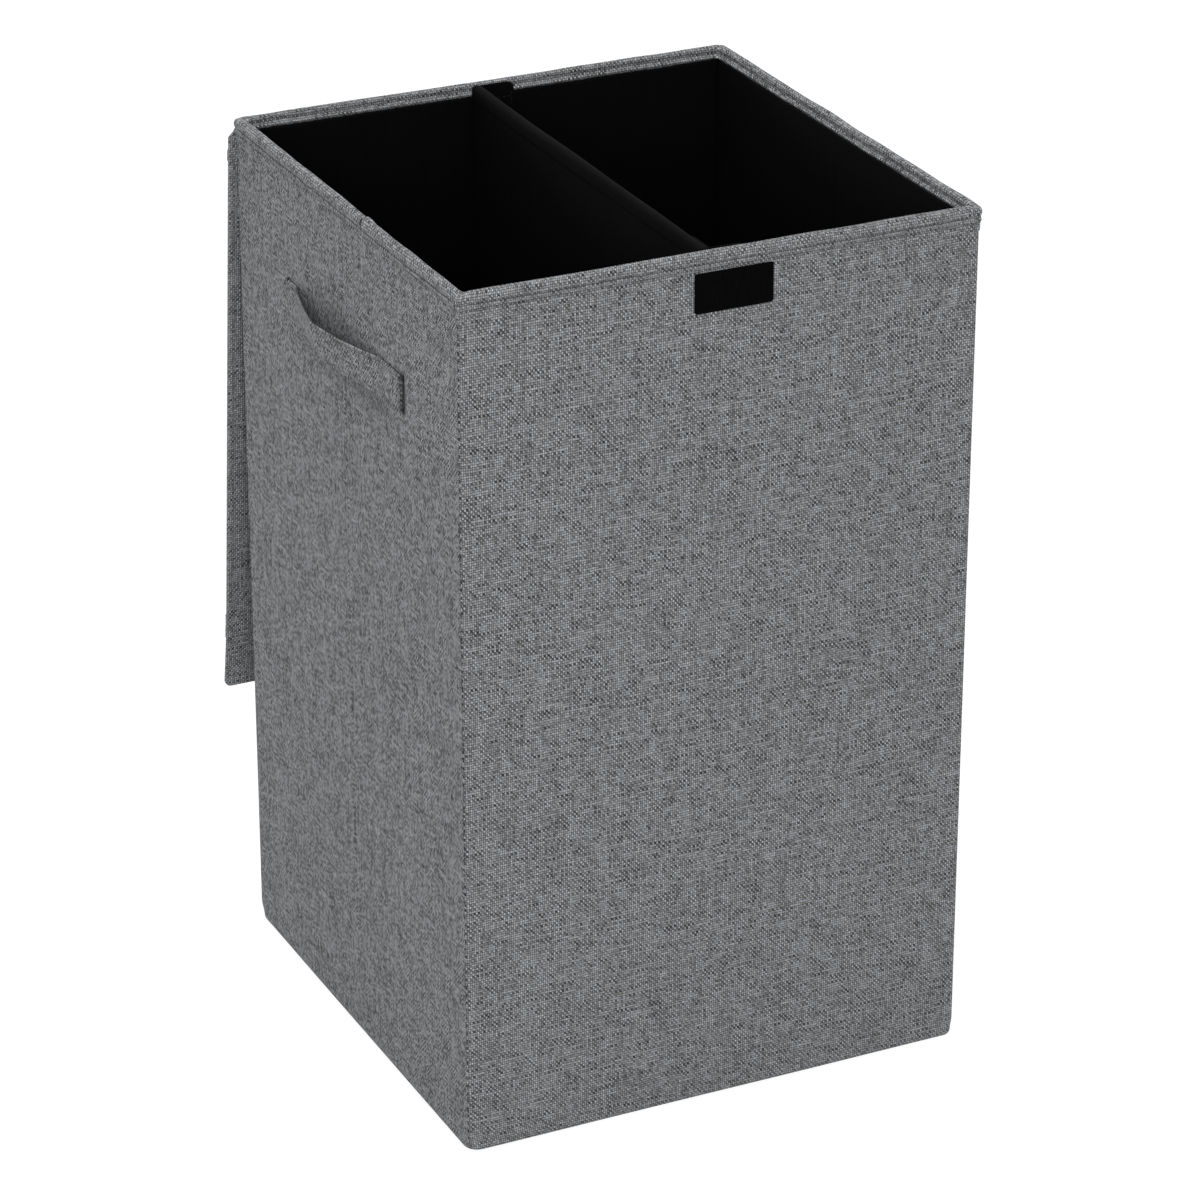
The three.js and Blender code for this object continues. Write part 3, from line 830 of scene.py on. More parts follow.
print("grid of the left cover:", [cover_grid("left").height.size, cover_grid("left").along.size])

# %% [markdown]
# Small faults are part of the likeness. The cloth swells a little over its board, the rim isn't
# quite level, each stitch draws a dimple, and the hem is thick at the corners, where four layers
# meet. Each fault is a height added where it belongs, as a sculptor would push the cloth about.

# %% Swells, dimples and thick corners
board_swell = 0.3 * MM
stitch_dimple = 0.16 * MM
ridge_pucker = 0.34 * MM
rim_waver = 0.3 * MM
inner_corner_bulge = 0.5 * MM
back_hem_press = 0.85 * MM


def hem_and_wall(g, name, seed):
    """How far a cover stands off its section."""
    stitches = np.cos(2 * math.pi * g.along / stitch_pitch)
    on_board = g.outside * (1 - g.on_hem) * rise(g.from_end, 0, 30 * MM)
    bulge = board_swell * swell(g.along, g.height, 0.2, seed) * on_board
    bulge = bulge + stitch_dimple * stitches * bell(g.drop - stitch_drop, 1.4 * MM) * g.outside
    bulge = bulge + ridge_pucker * stitches * bell(g.drop - ridge_drop, 1.3 * MM) * g.inner
    bulge = bulge + rim_waver * swell(g.along, 0 * g.along, 0.05, seed + 7) * g.on_hem * g.away
    outer_corner = (0.5 + 0.7 * g.grooves) * MM * rise(18 * MM - g.drop, 0, 2 * MM)
    bulge = bulge + outer_corner * bell(g.from_end, 7 * MM) * g.outside
    inner_corner = inner_corner_bulge * rise(9 * MM - g.drop, 0, 3 * MM)
    bulge = bulge + inner_corner * bell(g.from_end, 5 * MM) * g.inner
    if name == "back":
        pressed = rise(g.from_end, 3 * MM, 10 * MM)
        bulge = bulge - back_hem_press * g.outside * g.on_hem * pressed
    return bulge


print("rows of stitches dimple the hem by", round(stitch_dimple / MM, 2), "mm")

# %% [markdown]
# A side wall has more to it. A soft fold runs down its middle, where the gap between its boards
# lets the hamper fold flat. Fine upright wrinkles run beside it, and the cloth is drawn in at the
# two slits that hold the handle. The fold's line and the cloth under the strap's bow are a little
# darker, as in the photograph: painted shade along the crease, and a painted shadow under the
# strap.

# %% Folds and slits of a side wall
wall_wrinkle = 0.3 * MM
fold_crest = 0.4 * MM
fold_depth = 1.0 * MM
slit_pull = 0.35 * MM


def side_wall_folds(g, seed):
    """How far a side wall stands off, and where its crease acts, which also bounds its painted shade."""
    fold_and_painted_shade = rise(g.height, 8 * MM, 40 * MM) * rise(g.drop, hem_end, 40 * MM) * g.outside
    wrinkles = swell(g.along, 0.12 * g.height, 0.035, seed + 11)
    bulge = wall_wrinkle * wrinkles * fold_and_painted_shade * rise(g.from_end, 8 * MM, 40 * MM)
    crease = fold_crest * bell(g.along, 9 * MM) - fold_depth * bell(g.along, 1.9 * MM)
    bulge = bulge + fold_and_painted_shade * crease
    slit_middle = (slit_low + slit_high) / 2
    for side in (-1, 1):
        near_slit = bell(g.along - side * handle_reach, 6 * MM) * bell(g.height - slit_middle, 20 * MM)
        bulge = bulge - slit_pull * near_slit * g.outside
    return bulge, fold_and_painted_shade


# Painted shade along the crease, stronger near the strap, and a painted shadow on the wall under the
# strap's bow.
def side_wall_shade(g, fold_and_painted_shade):
    near_strap = bell(g.height - slit_low + 25 * MM, 40 * MM)
    line = (0.25 + 0.6 * near_strap) * bell(g.along, 1.1 * MM) * fold_and_painted_shade
    painted_shadow_below_strap = rise(g.height, slit_low - 21 * MM, slit_low - 9 * MM) * (g.height < slit_low)
    behind_bow = rise(handle_reach - abs(g.along), 8 * MM, 45 * MM)
    return line + 0.75 * painted_shadow_below_strap * behind_bow * g.outside


def slit_faces(g):
    """Which faces are left out of the grid, so that the handle can pass."""
    middle_height = (g.height[:-1] + g.height[1:]) / 2
    middle_along = (g.along[:, :-1] + g.along[:, 1:]) / 2
    in_height = (middle_height > slit_low) & (middle_height < slit_high)
    return in_height & (abs(abs(middle_along) - handle_reach) < slit_half)


print("slits at", round(handle_reach / MM), "mm from the middle, tall:", round(slit_high - slit_low, 4))

# %% [markdown]
# In the left rim the end of the hem laps over its start. It is a low step with the cloth tucked in
# before it, and a thin painted shadow along its edge.

# %% The lap in the left rim
lap_outward = 0.7 * MM
lap_upward = 0.4 * MM
lap_tuck = 0.7 * MM


def rim_lap(g):
    """How far the lap stands off, and the painted shadow along its edge."""
    past = g.along - rim_lap_place
    lap_end = 0.2 + 0.8 * rise(13 * MM - past, 0, 9 * MM)
    on_top = rise(past, -0.1 * MM, 0.3 * MM) * lap_end
    tucked = bell(past + 1.6 * MM, 1.5 * MM) * (past < 0)
    above_groove = rise(groove_drops[1] - g.drop, 0, 1 * MM)
    bulge = ((lap_outward + lap_upward * g.crown) * on_top - lap_tuck * tucked) * above_groove
    # Painted shadow: a thin dark line on the outside, just before the lap's step.
    edge = bell(past + 2.5 * MM, 1.4 * MM) * rise(8 * MM - g.drop, 0, 2 * MM)
    return bulge, 3 * edge * g.outside


print("lap at", round(rim_lap_place / MM), "mm in front of the middle")

# %% [markdown]
# Now a cover can be put together: its grid, its faults, the marks that the material reads, its
# thickness, and the row of stitches along the hem. The marks are values on the mesh's points: one
# is painted shade in the stitched grooves, along the side walls' crease, under the strap and at
# the lap, and the other marks the seam, where needle holes go.

# %% The four wall covers
corner_settle = 1.1 * MM
rim_sink = 0.8


def wall_cover(name, seed):
    g = cover_grid(name)
    bulge = hem_and_wall(g, name, seed)
    # Painted shade: the stitched grooves below the rim are painted darker, less so near the corners.
    shadow = g.grooves * (1 - 0.8 * bell(g.from_end, 4 * MM)) * g.outside + 0 * g.u
    if g.slits:
        side_bulge, fold_and_painted_shade = side_wall_folds(g, seed)
        bulge = bulge + side_bulge
        shadow = shadow + side_wall_shade(g, fold_and_painted_shade)
    if name == "left":
        lap_bulge, lap_painted_shadow = rim_lap(g)
        bulge = bulge + lap_bulge
        shadow = shadow + lap_painted_shadow
    u = g.u - np.sign(g.along) * g.out_depth * bulge * bell(g.from_end, 2.5 * MM)
    settle = -corner_settle * bell(g.from_end, 3.5 * MM) * g.crown * g.on_hem
    level = (0.45 * swell(g.along, 0 * g.along, 0.12, seed + 3) * g.away - rim_sink) * MM * g.on_hem
    places = on_wall(
        name, u, g.depth + g.inwards + g.out_depth * bulge,
        g.height + g.out_height * bulge + settle + level)
    weave = np.stack(np.broadcast_arrays(g.along, g.cloth_up), axis=-1)
    seam = bell(g.from_end - 1.2 * MM, 0.9 * MM) * g.outside * g.below_hem * bool(g.slits) + 0 * u
    piece = cloth_mesh(
        f"{name}_cover_cloth", places, weave, side_linen if g.slits else cover_linen,
        slit_faces(g) if g.slits else None, {"seam": seam, "fold_and_painted_shade": shadow})
    thicken(piece, cloth_thickness)
    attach(piece, "basket")
    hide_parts(f"{name}_cover")
    size = (2 * g.half, float(g.cloth_up.max() - g.cloth_up.min()))

    off_line = abs(g.path[:, 1] - (rim_height - stitch_drop)) + 10 * (g.path[:, 0] > 2 * MM)
    line = places[int(np.argmin(off_line)), 6:-6]
    thread = stitch_row(f"{name}_hem_stitches", line, wall_direction(name, 0, -1, 0), grey_thread)
    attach(thread, "basket")
    return piece, size


for number, wall in enumerate(WALLS):
    cover, cover_flat = wall_cover(wall, 20 + number)
    print(cover.name, len(cover.data.polygons), "faces, flat:", [round(value, 3) for value in cover_flat])

# %% [markdown]
# The lining hangs inside, sewn to the hem at the top and loose below. It follows the boards with
# shallow waves, and its top edge dips a little between stitches.

# %% Wall linings
lining_depth = 5.45 * MM
lining_top = rim_height - 9.2 * MM
lining_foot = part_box("left_lining")[0].z
lining_wave = 0.45 * MM
lining_fold = 0.7 * MM
lining_roll = 0.35 * MM


def wall_lining(name, seed):
    half = WALLS[name][3] - lining_depth - 0.15 * MM
    along = np.linspace(-half, half, 2 * int(half / stitch_pitch * 1.5) + 1)[None, :]
    shares = np.concatenate([np.linspace(0, 0.965, 62), np.linspace(0.97, 1, 8)])[:, None]
    scallops = 0.15 * MM * np.cos(2 * math.pi * along / stitch_pitch)
    edge = 0.35 * MM * swell(along, 0 * along, 0.04, seed) + scallops
    height = lining_foot + (lining_top + edge - lining_foot) * shares
    from_end = half - abs(along)
    loose = rise(from_end, 0, 25 * MM) * rise(height, 20 * MM, 90 * MM)
    loose = loose * rise(lining_top - height, 0, 60 * MM)
    waves = lining_wave * (swell(along, height, 0.13, seed + 1) - 1) * loose
    if name in ("left", "right"):
        waves = waves - lining_fold * bell(along, 2.2 * MM) * rise(lining_top - height, 6 * MM, 30 * MM)
    rolled = lining_roll * rise(height, lining_top - 2.5 * MM, lining_top - 1.2 * MM)
    places = on_wall(name, along, lining_depth + lining_thickness + waves + rolled, height)
    weave = np.stack(np.broadcast_arrays(along, height), axis=-1)
    piece = cloth_mesh(f"{name}_lining_cloth", places[::-1, ::-1], weave[::-1, ::-1], lining_cloth)
    piece.data.flip_normals()
    thicken(piece, lining_thickness)
    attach(piece, "basket")
    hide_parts(f"{name}_lining")
    return piece


for number, wall in enumerate(WALLS):
    lining = wall_lining(wall, 40 + number)
    print(lining.name, len(lining.data.polygons), "faces")

# %% [markdown]
# Many pieces here are a flat core with cloth drawn over it and turned round its edges: the lid,
# its flap, the base pad, the tapes. One function wraps a sheet round such a core. It takes a grid
# on the flat cloth, bends each point round the edge by how far past it lies, and fans the cloth
# round the corners.

# %% A cloth drawn over a flat core


def graded(low, high, step, fine_low, fine_high, fine):
    """Grid lines from low to high, close together within fine_low and fine_high of the ends."""
    parts = [np.array([low, high])]
    if fine_low > 0:
        parts.append(np.arange(low, low + fine_low, fine))
    if fine_high > 0:
        parts.append(np.arange(high, high - fine_high, -fine))
    start, stop = low + fine_low, high - fine_high
    parts.append(np.linspace(start, stop, max(2, int(round((stop - start) / step)) + 1)))
    lines = np.unique(np.concatenate(parts).round(7))
    keep = np.concatenate([[True], np.diff(lines) > 0.25 * fine])
    return lines[keep]


def edge_path(thickness, edge, turn):
    """Cloth length past the flat face, and how far out and up the cloth is there."""
    turns = np.linspace(0, math.pi / 2, 7)
    side = max(thickness - 2 * edge, 0)
    out = [[-1, 0]] + [[edge * math.sin(t), -edge * (1 - math.cos(t))] for t in turns]
    out += [[edge * math.cos(t), -edge - side - edge * math.sin(t)] for t in turns]
    out += [[-turn, -thickness]]
    out = np.array(out)
    return travel(out) - 1, out[:, 0], out[:, 1]


def wrap_cloth(name, span, corner, thickness, edge, turns, step, to_frame, material, surface=None):
    """span is (left, right, near, far) of the core, and turns how far the cloth goes behind it at
    each of those sides, or None where it ends at the face's edge. surface(a, b, inset) adds
    height to the face. The core's face is at height 0, and its back at minus thickness."""
    left, right, near, far = span
    centre = ((left + right) / 2, (near + far) / 2)
    half = ((right - left) / 2, (far - near) / 2)
    length, out, up = edge_path(thickness, edge, max([t for t in turns if t is not None] + [0]))
    around = length[-2]
    extend = [0 if t is None else around + t for t in turns]
    fine = [0 if t is None else around + t + 6 * MM for t in turns]
    fine_step = max(edge * 0.6, 0.45 * MM)
    a = graded(left - extend[0], right + extend[1], step, fine[0], fine[1], fine_step)[None, :]
    b = graded(near - extend[2], far + extend[3], step, fine[2], fine[3], fine_step)[:, None]
    flat_half = (half[0] - edge, half[1] - edge)
    inner_corner = max(corner - edge, 0.2 * MM)
    core_a = np.clip(a - centre[0], -(flat_half[0] - inner_corner), flat_half[0] - inner_corner)
    core_b = np.clip(b - centre[1], -(flat_half[1] - inner_corner), flat_half[1] - inner_corner)
    past_a, past_b = (a - centre[0]) - core_a, (b - centre[1]) - core_b
    size_a, size_b = abs(past_a) + 0 * past_b, abs(past_b) + 0 * past_a
    reach = np.maximum(size_a, size_b)
    share = np.minimum(size_a, size_b) / np.maximum(reach, 1e-9)
    angle = np.where(size_a >= size_b, math.pi / 4 * share, math.pi / 2 - math.pi / 4 * share)
    past = reach - inner_corner
    radial = np.where(past <= 0, reach, inner_corner + np.interp(past, length, out))
    height = np.where(past <= 0, 0, np.interp(past, length, up))
    x = centre[0] + core_a + np.sign(past_a) * radial * np.cos(angle)
    y = centre[1] + core_b + np.sign(past_b) * radial * np.sin(angle)
    inset = np.minimum(half[0] - abs(x - centre[0]), half[1] - abs(y - centre[1]))
    inset = np.where((size_a > 0) & (size_b > 0), edge + inner_corner - reach, inset)
    on_face = rise(inset, 0, 1.5 * MM) * (past <= 0)
    if surface is not None:
        height = height + surface(x, y, inset) * on_face
    weave = np.stack(np.broadcast_arrays(a, b), axis=-1)
    return cloth_mesh(name, to_frame(x, y, height), weave, material)


def rectangle_path(left, right, near, far, corner, step, to_frame, height):
    """A closed path with rounded corners on a face, for stitches."""
    points = []
    for x, y, start in ((right, far, 0), (left, far, 90), (left, near, 180), (right, near, 270)):
        middle_x = x - math.copysign(corner, x - (left + right) / 2)
        middle_y = y - math.copysign(corner, y - (near + far) / 2)
        for turn in np.radians(np.linspace(start, start + 90, 5)):
            points.append((middle_x + corner * math.cos(turn), middle_y + corner * math.sin(turn)))
    points = np.array(points + points[:1])
    points = spaced(points, step)
    return to_frame(points[:, 0], points[:, 1], np.full(len(points), height))


# %% [markdown]
# The bottom of the cover is a plain panel between the rounded feet. Nobody sees it until the
# hamper is tipped over, but it is there, with the same cloth. The bottom lining and the base pad
# lie on it. The pad is a board in a black wrap that is turned in under its edges.

# %% Bottom panel, bottom lining and base pad
pad_low, pad_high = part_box("base_board_cover")
pad_turn = 25 * MM


def flat_sheet(name, node, thickness, material, body, step, seed, wave):
    """A cloth that lies flat in the place of its node, with a slight swell."""
    low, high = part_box(node)
    x = np.arange(low.x, high.x, step)[None, :]
    y = np.arange(high.y, low.y, -step)[:, None]
    height = high.z + wave * (swell(x, y, 0.11, seed) - 1) / 2
    places = np.stack(np.broadcast_arrays(x, y, height), axis=-1)
    piece = cloth_mesh(name, places, places[..., :2].copy(), material)
    thicken(piece, thickness)
    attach(piece, body)
    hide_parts(node)
    return piece


flat_sheet(
    "bottom_panel_cloth", "bottom_cover", cloth_thickness, plain_linen, "basket",
    6 * MM, 61, 0)
flat_sheet(
    "bottom_lining_cloth", "bottom_lining", lining_thickness, lining_cloth, "basket",
    6 * MM, 62, 0.2 * MM)


def on_pad(x, y, height):
    return np.stack([x, y, pad_high.z + height], axis=-1)


pad_cloth = wrap_cloth(
    "base_pad_wrap", (pad_low.x, pad_high.x, pad_low.y, pad_high.y), 3 * MM, pad_high.z - pad_low.z,
    1.2 * MM, (pad_turn,) * 4, 8 * MM, on_pad, lining_cloth,
    lambda x, y, inset: 0.15 * MM * (swell(x, y, 0.12, 63) - 1))
pad_cloth.data.flip_normals()
thicken(pad_cloth, lining_thickness)
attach(pad_cloth, "base_pad")
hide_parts("base_board_cover")

# %% [markdown]
# The handle is a strap of the same cloth, folded and stitched. Its ends go into slits, and its
# slack stands off the wall in a bow with a kink towards the back. A strap is best built as a band
# swept along a path: its section is a flat oval, and the path carries the bow.

# %% Handles
strap_low, strap_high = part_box("left_handle")[0].z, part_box("left_handle")[1].z
bow = -half_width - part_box("left_handle")[0].x
strap_thickness = 2.3 * MM
BOW_SHARES = [
    (1.0, -0.35), (1.0, -0.02), (0.93, 0.0), (0.84, 0.0), (0.81, 0.02), (0.785, 0.1), (0.6, 0.45),
    (0.4, 0.8), (0.2, 1.09), (0.17, 1.16), (0.14, 1.11), (-0.05, 0.88), (-0.25, 0.6), (-0.45, 0.27),
    (-0.6, 0.04), (-0.8, 0.0), (-0.95, 0.0), (-1.0, -0.02), (-1.0, -0.35),
]
strap_sides = 20
strap_stitch_inset = 2.3 * MM
strap_in_wall = -1.3 * MM
strap_lean = 3.0 * MM
strap_sag = 1.2 * MM
strap_rumple = 0.35 * MM
strap_waver = 0.5 * MM
groove_share = 0.83


def strap_path(rearward):
    """The strap's middle line, along the wall and inwards."""
    reach = handle_reach - 1.1 * MM
    rest = bow - strap_thickness
    points = []
    for along, out in BOW_SHARES:
        points.append((rearward * along * reach, strap_in_wall - out * (rest + strap_in_wall)))
    path = smooth_path(points, 1.3 * MM)
    bowed = np.clip((strap_in_wall - path[:, 1]) / rest, 0, 1)
    return path, -strap_lean * np.sqrt(bowed)


def handle(wall, rearward, seed):
    path, leaning = strap_path(rearward)
    tangent = np.gradient(path, axis=0)
    tangent /= np.linalg.norm(tangent, axis=1)[:, None]
    normal = np.column_stack([-tangent[:, 1], tangent[:, 0]]) * -rearward
    travelled = travel(path)
    from_end = np.minimum(travelled, travelled[-1] - travelled)
    thin = 0.38 + 0.62 * rise(from_end, 3 * MM, 9 * MM)
    slack = rise(from_end, 20 * MM, 70 * MM)
    half_high = (strap_high - strap_low) / 2
    middle = (strap_high + strap_low) / 2

    def lie(share, column):
        """How far off its path and how high the strap lies, at a share of its half width."""
        way, loose = column(travelled), column(slack)
        off = column(leaning) * share
        off = off + strap_rumple * swell(way, share * 0.012, 0.03, seed) * loose
        height = middle + half_high * share - strap_sag * loose
        return off, height + strap_waver * swell(way, 0 * share, 0.035, seed + 1)

    def spread(values):
        return values[:, None]

    turns = np.arange(strap_sides + 1) * 2 * math.pi / strap_sides
    flat = np.sign(np.cos(turns)) * abs(np.cos(turns)) ** 0.35
    full = np.sign(np.sin(turns)) * abs(np.sin(turns)) ** 0.6
    full = full * (1 - 0.45 * bell(abs(flat) - groove_share, 0.07))
    off, height = lie(flat[None, :], spread)
    off = off + strap_thickness / 2 * thin[:, None] * full[None, :]
    along = path[:, :1] + normal[:, :1] * off
    depth = path[:, 1:] + normal[:, 1:] * off
    around = travel(np.column_stack([flat * half_high, full * strap_thickness / 2]))
    weave = np.stack(np.broadcast_arrays(travelled[:, None], around[None, :]), axis=-1)
    # Painted shade: the strap is darker near its ends, where it goes into the slits, and along its
    # stitched grooves.
    shade = 2.2 * bell(from_end[:, None], 4.6 * MM)
    shade = shade + 0.6 * bell(abs(flat[None, :]) - groove_share, 0.05)
    piece = cloth_mesh(
        f"{wall}_handle_strap", on_wall(wall, along, depth, height), weave, strap_linen, None,
        {"fold_and_painted_shade": shade})
    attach(piece, "basket")
    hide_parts(f"{wall}_handle")

    outward = np.array([wall_direction(wall, a, d, 0) for a, d in normal])
    sewn = from_end > 5 * MM
    for label, side in (("upper", 1), ("lower", -1)):
        off, height = lie(side * (1 - strap_stitch_inset / half_high), np.asarray)
        off = off + (strap_thickness / 2 + 0.02 * MM) * thin
        line = on_wall(wall, path[:, 0] + normal[:, 0] * off, path[:, 1] + normal[:, 1] * off, height)
        thread = stitch_row(
            f"{wall}_handle_{label}_stitches", line[sewn], outward[sewn], grey_thread)
        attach(thread, "basket")
    return travelled[-1]


for wall, rearward in (("left", -1), ("right", 1)):
    print(wall, "strap, millimetres long:", round(handle(wall, rearward, 70) * 1000))

# %% [markdown]
# Hook and loop tape is a woven strip with a pile. Here the pile is a dense, bumpy surface with a
# ragged height, inside a flat selvedge that is stitched down. The patch on the front is the one
# black mark on the grey wall, so its edge and its fuzz count.

# %% Loop patch and hook patch
pile_height = 0.5 * MM
pile_unevenness = 0.16 * MM
selvedge = 1.6 * MM
tape_thickness = 1.1 * MM


def tape_patch(name, node, body, to_frame, span, seed):
    draw = np.random.default_rng(seed)

    def pile(x, y, inset):
        fuzz = draw.normal(0, pile_unevenness, x.shape)
        return rise(inset, selvedge - 0.5 * MM, selvedge + 0.7 * MM) * (pile_height + fuzz)

    piece = wrap_cloth(
        name, span, 1.5 * MM, tape_thickness, 0.35 * MM, (0,) * 4, 0.6 * MM, to_frame, loop_pile, pile)
    thicken(piece, 0.3 * MM)
    left, right, near, far = span
    inset = selvedge * 0.55
    path = rectangle_path(
        left + inset, right - inset, near + inset, far - inset, 1 * MM, 1 * MM, to_frame, 0.0)
    zero = np.zeros(1)
    normal = (to_frame(zero, zero, zero + 1) - to_frame(zero, zero, zero))[0]
    thread = stitch_row(f"{name}_stitches", path, normal, black_thread, pitch=2.6 * MM, radius=0.2 * MM)
    for part in (piece, thread):
        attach(part, body)
    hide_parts(node)
    return piece


patch_low, patch_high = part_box("front_loop_patch")


def on_front(x, z, height):
    return np.stack([x, -half_depth - tape_thickness - height, z], axis=-1)


front_patch = tape_patch(
    "front_loop_tape", "front_loop_patch", "basket", on_front,
    (patch_low.x, patch_high.x, patch_low.z, patch_high.z), 81)
print("loop patch faces:", len(front_patch.data.polygons))

# %% [markdown]
# The divider is a board in a black sleeve, hemmed at the top. At each end a flange lies on the
# wall, sewn to the divider's right face by its other leg. Hook tape on the flange grips loop tape
# on the lining. The sleeve's section is drawn from foot to foot over the hemmed top.

# %% Divider sleeve
divider_low, divider_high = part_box("divider_cover")
divider_middle = (divider_low.x + divider_high.x) / 2
divider_half = (divider_high.x - divider_low.x) / 2
divider_hem = 11 * MM
hem_swelling = 0.75 * MM


def divider_sleeve():
    inner = divider_half - lining_thickness * 0.2
    top = divider_high.z
    hem_line = top - divider_hem
    swelled = inner + hem_swelling
    section = [
        (-inner, divider_low.z), (-inner, hem_line - 9 * MM), (-inner, hem_line - 2 * MM),
        (-inner + 0.35 * MM, hem_line), (-swelled, hem_line + 2.5 * MM), (-swelled, top - 2.2 * MM),
        (-swelled * 0.6, top - 0.2 * MM), (0, top + 0.2 * MM),
    ]
    section = section + [(-x, z) for x, z in section[-2::-1]]
    upper = smooth_path(section[1:-1], 0.9 * MM)
    heights = np.linspace(divider_low.z, section[1][1], 45)[:-1]
    left_side = np.column_stack([np.full(len(heights), -inner), heights])
    path = np.vstack([left_side, upper, left_side[::-1] * (-1, 1)])
    travelled = travel(path)
    y = columns_for(divider_high.y, stitch_pitch / 2)[None, :]
    from_end = divider_high.y - abs(y)
    pinch = 1 - 0.8 * bell(from_end, 0.8 * MM)
    x, z = path[:, 0][:, None], path[:, 1][:, None]
    side = np.clip(x / inner, -1, 1)
    wave = 0.25 * MM * (swell(y, z, 0.12, 91) - 0.6) * rise(from_end, 0, 20 * MM)
    pucker = stitch_dimple * np.cos(2 * math.pi * y / stitch_pitch) * bell(z - hem_line, 1.5 * MM)
    lift = 0.5 * MM * swell(y, 0 * y, 0.14, 92) * rise(z, hem_line, top)
    round_corner = 0.8 * MM * bell(from_end, 2 * MM) * rise(z, top - 4 * MM, top)
    across = divider_middle + (x + side * (wave + pucker)) * pinch
    places = np.stack(np.broadcast_arrays(across, y, z + lift - round_corner), axis=-1)
    weave = np.stack(np.broadcast_arrays(y, travelled[:, None]), axis=-1)
    piece = cloth_mesh("divider_sleeve", places, weave, lining_cloth)
    piece.data.flip_normals()
    thicken(piece, lining_thickness)
    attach(piece, "divider")
    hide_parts("divider_cover")
    size = (2 * divider_high.y, float(travelled[-1]))
    sewn = divider_high.y - 3 * MM
    for label, sign in (("left", -1), ("right", 1)):
        x = divider_middle + sign * (inner - 0.3 * MM)
        line = np.linspace((x, -sewn, hem_line), (x, sewn, hem_line), 200)
        thread = stitch_row(f"divider_{label}_hem_stitches", line, (sign, 0, 0), black_thread)
        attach(thread, "divider")
    return size


print("divider sleeve, flat size:", [round(value, 3) for value in divider_sleeve()])

# %% [markdown]
# Each flange is one strip of lining bent to a right angle. Its upper outer corner is rounded, its
# edges are stitched, and two rows of stitches hold the hook tape behind it.

# %% Divider flanges
flange_corner = 6 * MM


def divider_flange(name, end):
    low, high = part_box(f"divider_{name}_flange")
    face = high.y if end > 0 else low.y
    leg_end = low.y if end > 0 else high.y
    leg = abs(face - leg_end)
    width = high.x - low.x
    bend = 1.2 * MM
    tall = high.z - low.z
    path = smooth_path([
        (0, leg), (0, leg * 0.5), (0, bend * 2), (bend * 0.3, bend * 0.3), (bend * 2, 0),
        (width * 0.5, 0), (width, 0)], 0.9 * MM)
    travelled = travel(path)
    column = travelled[None, :]
    in_corner = np.clip(flange_corner - (travelled[-1] - column), 0, None)
    rounding = flange_corner - np.sqrt(np.clip(flange_corner**2 - in_corner**2, 0, None))
    row = np.concatenate([np.linspace(0, 0.93, 60), np.linspace(0.935, 1, 30)])[:, None]
    height = low.z + (tall - rounding) * row
    free = rise(column, leg, leg + 6 * MM) * rise(height, high.z - 40 * MM, high.z)
    curl = 0.5 * MM * free * swell(column, height, 0.05, 95)
    x = low.x + path[:, 0][None, :] + 0 * height
    y = face - end * (path[:, 1][None, :] + curl)
    places = np.stack(np.broadcast_arrays(x, y, height), axis=-1)
    weave = np.stack(np.broadcast_arrays(column, height), axis=-1)
    piece = cloth_mesh(f"divider_{name}_flange_cloth", places, weave, lining_cloth)
    if end > 0:
        piece.data.flip_normals()
    thicken(piece, lining_thickness)
    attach(piece, "divider")
    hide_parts(f"divider_{name}_flange")
    outer, inner = high.x - 2.2 * MM, low.x + 4.5 * MM
    foot, across = low.z + 4 * MM, high.z - 10.5 * MM
    rows = {
        "outer": [(outer, foot), (outer, high.z - 7 * MM)],
        "inner": [(inner, foot), (inner, high.z - 4 * MM)],
        "top": [(inner, across), (outer, across)],
    }
    y = face - end * 0.02 * MM
    for label, ((x0, z0), (x1, z1)) in rows.items():
        line = np.linspace((x0, y, z0), (x1, y, z1), 60)
        thread = stitch_row(
            f"divider_{name}_flange_{label}_stitches", line, (0, -end, 0), black_thread)
        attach(thread, "divider")
    return piece


for name, end in (("front", -1), ("back", 1)):
    print(divider_flange(name, end).name)

# %% [markdown]
# The lid hangs behind the back wall. Its places are easiest to give in its own terms: across, down
# from the seam, and out to the lining side. Three fold lines cross it: the seam on the wall, the
# edge of the panel's board, and the crease of the flap.

# %% Places on the lid
seam_line = joint_place["lid_seam_fold"]
panel_fold = joint_place["lid_panel_fold"]
flap_fold = joint_place["flap_fold"]
down = (flap_fold - seam_line).normalized()
out = Vector((1, 0, 0)).cross(down)
if out.y < 0:
    out = -out
strip_length = (panel_fold - seam_line).length
crease_drop = (flap_fold - seam_line).length
lid_half_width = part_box("lid_cover")[1].x
flap_kick = math.radians(4)
flap_down = (math.cos(flap_kick) * down + math.sin(flap_kick) * out).normalized()
flap_out = (math.cos(flap_kick) * out - math.sin(flap_kick) * down).normalized()
flap_length = 50 * MM
panel_half = 2.35 * MM
flap_half = 1.7 * MM


def below(line, down_way, out_way, x, drop, outward):
    """Places across, down and out from a fold line of the lid."""
    x, drop, outward = np.broadcast_arrays(x, drop, outward)
    place = np.array(line) + drop[..., None] * np.array(down_way)
    place = place + outward[..., None] * np.array(out_way)
    place[..., 0] += x
    return place


def on_lid(x, drop, outward):
    return below(seam_line, down, out, x, drop, outward)


def on_flap(x, drop, outward):
    return below(flap_fold, flap_down, flap_out, x, drop, outward)


print("lid strip and crease lie at", round(strip_length, 5), round(crease_drop, 4), "below the seam")

# %% [markdown]
# Cloth that crosses a hinge has to bend with it in the real lid. The strip's cloth is folded double
# and laps on to the panel, and the cloth over the flap's crease laps on to both sides. Here these
# two meshes are fixed in place, and the flat parts between them ride on one body each.

